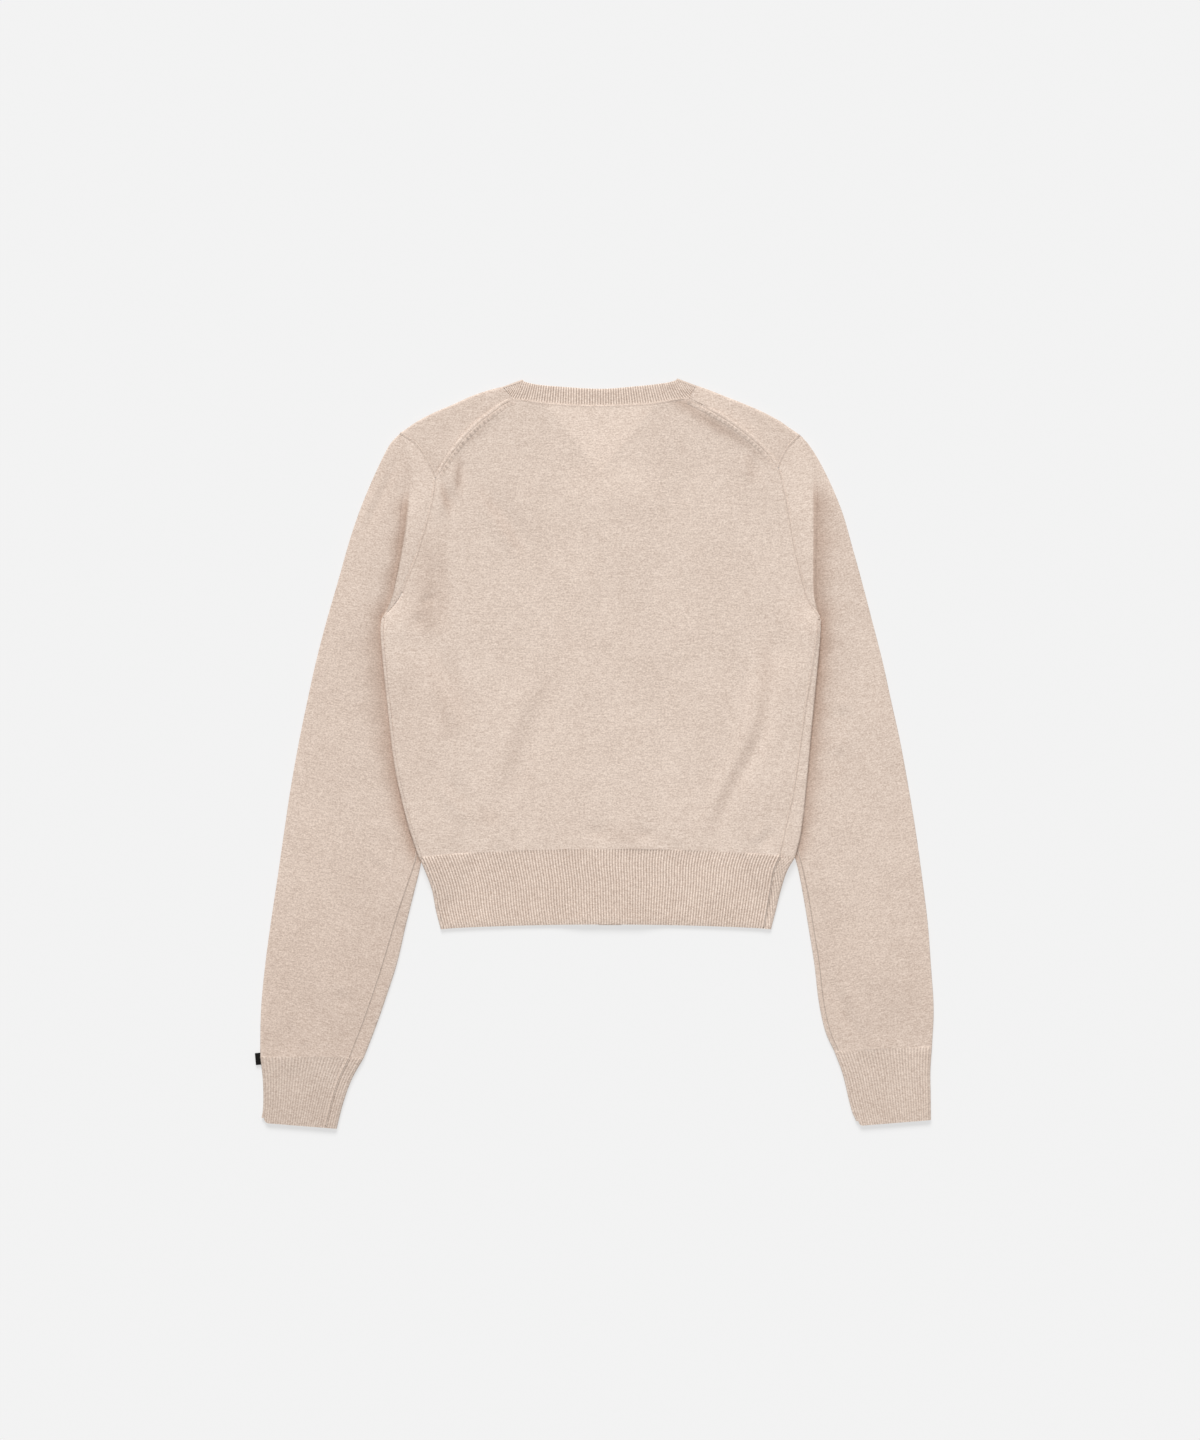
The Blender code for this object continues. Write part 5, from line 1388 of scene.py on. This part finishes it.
def make_hem_front(side, finish):
    across = spread((-1, 0, 42), (0, 1, 8), (1, 2, HEM_FRONT_RIBS * 4))
    down = spread((0, RIB_START, 3), (RIB_START, 0.98, 28), (0.98, 1, 1))

    def place(u, v, outside):
        return hem_front_point(side, u, v, outside)

    def knit(u, v):
        x, y, _ = hem_front_point(side, u, v, True)
        under = rib_height((u - 1) * HEM_FRONT_RIBS)
        on_back = rib_height(wrap_phase(side, x, y))
        rib = np.where(u < 0, on_back, np.where(u > 1, under, 0.5))
        return x, y, mix(PLAIN_PALE, rib, HEM_CLEAR * rib_share(v))
    return cloth_wall("hem_rib_front_" + side.name, "hem_front_" + side.name, across, down,
                      place, knit, finish)


def make_neckband(finish):
    across = spread((0, 1, 460))
    up = spread((0, NECK_RISE, 5), (NECK_RISE, 0.97, 26), (0.97, 1, 1))
    top = neck_top_line()

    def place(u, v, outside):
        x, y, z = neckband_point(top, u, v, outside)
        return x, y, z - NECK_DROP * (v == 1) * outside * (1 - beside_fold(u))

    def knit(u, v):
        x, y, _ = neckband_point(top, u, v, True)
        return x, y, mix(PLAIN_PALE, rib_height(neck_phase(x, y)), ease(0, NECK_RISE, v))
    return cloth_wall("neck_rib", "neckband", across, up, place, knit, finish)


def make_band(name, rows, finish):
    across = spread((0, BAND_KNEE, 3), (BAND_KNEE, 1, 12))
    along = spread((0, 1, 8), (1, 2, 150))
    smooth = Table(rows)

    def place(u, v, outside):
        return band_point(rows, smooth, u, v, outside)

    def knit(u, v):
        # the band's ribs as painted stripes: crests lit and grooves in painted shade
        rib = 0.5 + 0.5 * np.cos(2 * math.pi * u * BAND_RIBS)
        return u * BAND_SIZE[0], v * BAND_SIZE[1], np.where(v < 1, 0.5, rib)
    return cloth_wall("placket_" + name, name, across, along, place, knit, finish)


def make_sleeve(side, finish):
    sleeve = Sleeve(side)
    around = spread((0, 1, 52), (1, 2, 8), (2, 3, 26), (3, 4, 8))
    along = spread((0, 0.6, 8), (0.6, 0.8, 5), (0.8, 1, 2), (1, sleeve.last, 108))

    def knit(u, v):
        x, y, _ = sleeve.point(u, v, True)
        lean_x, lean_y = math.cos(SLEEVE_LEAN), side.sign * math.sin(SLEEVE_LEAN)
        # painted shade and light on the sleeve's top, none on its turned edges, and its plain
        # painted shade below
        shade = np.where(u <= 1, sleeve.shade(x, y), np.where(u < 2, 0, SLEEVE_SHADE[side.name]))
        return x * lean_x + y * lean_y, y * lean_x - x * lean_y, -shade
    piece = cloth_wall("sleeve_tube_" + side.name, "sleeve_" + side.name, around, along,
                       sleeve.point, knit, finish, closed=True)
    return piece, sleeve


def make_cuff(side, sleeve, finish):
    around = spread((0, 1, CUFF_RIBS * RIB_STEPS), (1, 2, 8), (2, 3, CUFF_RIBS * 3), (3, 4, 8))
    down = spread((0, RIB_START, 4), (RIB_START, 0.98, 13), (0.98, 1, 1))
    table = Table(side.cuff)

    def place(u, v, outside):
        return cuff_point(sleeve, table, u, v, outside)

    def knit(u, v):
        x, y, _ = cuff_point(sleeve, table, u, v, True)
        rib = rib_height(np.where(u <= 1, u, 3 - u) * CUFF_RIBS)
        rib = np.where((u > 1) & (u < 2), 0.9, np.where(u > 3, 0.6, rib))
        rib = mix(PLAIN_PALE, rib, CUFF_CLEAR * rib_share(v))
        # the cuff's painted shade, as the light falls off towards the lower left
        return x, y, rib * (1 - CUFF_SHADE[side.name])
    return cloth_wall("cuff_rib_" + side.name, "cuff_" + side.name, around, down, place, knit,
                      finish, closed=True)


def soften(shape, edges):
    bmesh.ops.bevel(shape, geom=edges, offset=SOFT_EDGE, segments=3, profile=0.5,
                    affect="EDGES", material=-1)


def make_button(node, finish):
    """A turned disc with a rounded rim and a dish, face down."""
    low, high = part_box(node)
    middle, radius = (low + high) / 2, (high.x - low.x) / 2
    disc = bmesh.new()
    bmesh.ops.create_cone(disc, cap_ends=True, segments=32, radius1=radius, radius2=radius,
                          depth=high.z - low.z)

    def height(face):
        return face.calc_center_median().z
    soften(disc, [edge for flat in (min(disc.faces, key=height), max(disc.faces, key=height))
                  for edge in flat.edges])
    face = min(disc.faces, key=height)
    bmesh.ops.inset_region(disc, faces=[face], thickness=BUTTON_RIM)
    bmesh.ops.inset_region(disc, faces=[face], thickness=BUTTON_DISH[0])
    bmesh.ops.translate(disc, verts=face.verts[:], vec=(0, 0, BUTTON_DISH[1]))
    bmesh.ops.translate(disc, verts=disc.verts[:], vec=middle - Vector((CENTRE_SHIFT, 0, 0)))
    bmesh.ops.recalc_face_normals(disc, faces=disc.faces[:])
    finish_piece("disc_" + node, disc, finish, node)


def make_tab(finish):
    """The small folded tape on the cuff, soft at its corners."""
    low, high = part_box("cuff_tag")
    middle = (low + high) / 2 + Vector((TAG_SHIFT, 0, 0))
    tab = bmesh.new()
    bmesh.ops.create_cube(tab, size=1.0)
    bmesh.ops.scale(tab, vec=TAG_SIZE, verts=tab.verts[:])
    soften(tab, tab.edges[:])
    turn = Matrix.Rotation(TAG_TURN, 3, "Z")
    bmesh.ops.rotate(tab, cent=(0, 0, 0), matrix=turn, verts=tab.verts[:])
    bmesh.ops.translate(tab, verts=tab.verts[:], vec=middle - Vector((CENTRE_SHIFT, 0, 0)))
    finish_piece("tab", tab, finish, "cuff_tag")


def make_seams(sleeves, finish):
    """The linked seams that show: on the shoulders, the armholes, the sides and the arms."""
    share = np.linspace(0, 1, SEAM_POINTS)
    made = []

    def add(name, points, stitches, cloth=None, tone=0.0):
        made.append(seam_strip(name, np.stack(points, axis=1), stitches, finish, cloth, tone))

    def back_cloth(x, y):
        # the back's paleness and the painted shade of its creases, which the strips carry on
        tone = back_pale_and_shade(x, y)
        paler = 0.6 * np.minimum(tone, 0) + 0.1 * np.maximum(tone, 0)
        return back_underside(x, y) + CLOTH + back_relief(x, y), paler

    def sloped(points, beside):
        """The points with the cloth's slope across their line, from points close beside them."""
        x, y, z = points
        aside = unit(np.stack((np.gradient(y), -np.gradient(x)), axis=1))
        step = np.stack(beside, axis=1) - np.stack(points, axis=1)
        return x, y, z, step[:, 2] / (step[:, :2] * aside).sum(axis=1)

    for side in SIDES:
        routes = ROUTES[side.name]
        x, y = routes["shoulder_seam"].at(share).T
        line = (x, y, back_cloth(x, y)[0], 0 * x)
        add("seam_shoulder_" + side.name, line, Ridge())
        add("marks_shoulder_" + side.name, line, Marks(-side.sign, MARK_SHADE[side.name]),
            back_cloth)
        x, y = routes["armhole"].at(mix(ARMHOLE_SHOWS[side.name], 0.985, share)).T
        add("seam_armhole_" + side.name, (x, y, 0 * x, 0 * x), Stitches(SEAM_SHADE["armhole"]),
            back_cloth)
        x, y = routes["cap_seam"].at(share).T
        add("seam_cap_" + side.name, (x, y, 0 * x + BODY_THICKNESS + FLAP_RELIEF, 0 * x),
            Stitches(SEAM_SHADE["cap"]))
        sleeve, cuff = sleeves[side.name], Table(side.cuff)
        rows = np.linspace(UNDERARM_START, sleeve.last, SEAM_POINTS)
        under = np.interp(rows, range(sleeve.last + 1), UNDERARM_SEAM[side.name])
        points = sloped(sleeve.point(under, rows, True), sleeve.point(under - 0.015, rows, True))
        if side is LEFT:
            x, y, z = cuff_point(sleeve, cuff, 0 * share + under[-1], share * 0.97, True)
            near = cuff_point(sleeve, cuff, 0 * share + under[-1] - 0.01, share * 0.97, True)
            rib = (x, y, z + CUFF_RELIEF * RIB_HEIGHT * rib_share(share))
            rib = sloped(rib, (*near[:2], rib[2]))
            points = [np.concatenate(axes) for axes in zip(points, rib)]
        # the seam takes the sleeve's painted shade
        add("seam_underarm_" + side.name, points, Stitches(SEAM_SHADE["underarm"]),
            tone=-SLEEVE_SHADE[side.name])
    body = (*back_point(0 * share + 1, 1 - share, True), 0 * share)
    add("seam_side_right", body, Stitches(SEAM_SHADE["side"]))
    x, y, z = hem_back_point(0 * share + 1, share * 0.98, True)
    rib = (x, y, z + 1.3 * RIB_HEIGHT * rib_share(share), 0 * share)
    add("seam_hem_right", rib, Stitches(SEAM_SHADE["hem"]))
    x, y = NECK_LINE.at(mix(0.03, 0.97, share)).T
    add("seam_neck", (x, y - 0.0004, 0 * x, 0 * x), Stitches(SEAM_SHADE["neck"], 0.00015),
        back_cloth)
    return made


def link(name, data, place=(0, 0, 0)):
    """A thing of the studio, put at its place in the scene."""
    thing = bpy.data.objects.new(name, data)
    thing.location = place
    bpy.context.scene.collection.objects.link(thing)
    return thing


def light_studio():
    """An even pale surround, and one broad soft light from beyond the neck."""
    world = bpy.data.worlds.new("studio")
    world.use_nodes = True
    surround = world.node_tree.nodes["Background"]
    surround.inputs["Color"].default_value = WHITE
    surround.inputs["Strength"].default_value = SURROUND_STRENGTH
    bpy.context.scene.world = world
    lamp = bpy.data.lights.new("window", "SUN")
    lamp.angle = LAMP_SPREAD
    lamp.energy = LAMP_ENERGY
    turn = Vector(LAMP_FROM).to_track_quat("Z", "Y").to_euler()
    link("window", lamp).rotation_euler = turn


def lay_floor():
    """A wide pale paper just under the garment, partly glowing so that it takes little shade."""
    floor = bmesh.new()
    bmesh.ops.create_grid(floor, x_segments=1, y_segments=1, size=FLOOR_SIZE)
    mesh = bpy.data.meshes.new("floor")
    floor.to_mesh(mesh)
    floor.free()
    paper = Finish("paper", Roughness=0.9, Specular_IOR_Level=0.1, Emission_Color=WHITE,
                   Base_Color=(FLOOR_GREY, FLOOR_GREY, FLOOR_GREY, 1.0),
                   Emission_Strength=FLOOR_GLOW)
    mesh.materials.append(paper.material)
    link("floor", mesh, (0, 0, -FLOOR_DROP))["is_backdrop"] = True


def place_camera():
    """Straight above, framed as the garment was seen."""
    camera = bpy.data.cameras.new("camera")
    camera.lens = SENSOR * CAMERA_HEIGHT / FRAME_HEIGHT
    bpy.context.scene.camera = link("camera", camera, (*CAMERA_PLACE, CAMERA_HEIGHT))


def corners(bounds):
    return [list(map(float, corner)) for corner in bounds]


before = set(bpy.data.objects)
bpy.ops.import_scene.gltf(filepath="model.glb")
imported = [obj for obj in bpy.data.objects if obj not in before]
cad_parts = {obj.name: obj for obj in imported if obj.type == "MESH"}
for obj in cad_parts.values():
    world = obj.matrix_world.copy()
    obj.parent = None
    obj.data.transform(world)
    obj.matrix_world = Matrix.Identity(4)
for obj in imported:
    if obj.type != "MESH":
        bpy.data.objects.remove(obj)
solid_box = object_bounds()
bpy.context.scene.view_settings.view_transform = "Standard"

jersey = heather_knit("heather_jersey", ribbed=False)
ribbing = heather_knit("heather_rib", ribbed=True)
horn = speckled("button", 0.35, 0.5, 240.0, 3.0, HORN_DARK, HORN_PALE)

back = make_back(jersey)
hem = make_hem_back(ribbing)
neck = make_neckband(ribbing)
fronts, hem_fronts, sleeves, cuffs, shapes = {}, {}, {}, {}, {}
for garment_side in SIDES:
    which = garment_side.name
    fronts[which] = make_front(garment_side, jersey)
    hem_fronts[which] = make_hem_front(garment_side, ribbing)
    sleeves[which], shapes[which] = make_sleeve(garment_side, jersey)
    cuffs[which] = make_cuff(garment_side, shapes[which], ribbing)
bands = {name: make_band(name, rows, ribbing) for name, rows in BANDS.items()}
for number in range(1, BUTTONS + 1):
    make_button("button_" + str(number), horn)
make_tab(speckled("tape", 0.95, 0.12, 2600.0, 1.0, TAPE_DARK, TAPE_PALE))
seams = make_seams(shapes, ribbing)

light_studio()
lay_floor()
place_camera()

{"cad": corners(solid_box), "visual": corners(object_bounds())}
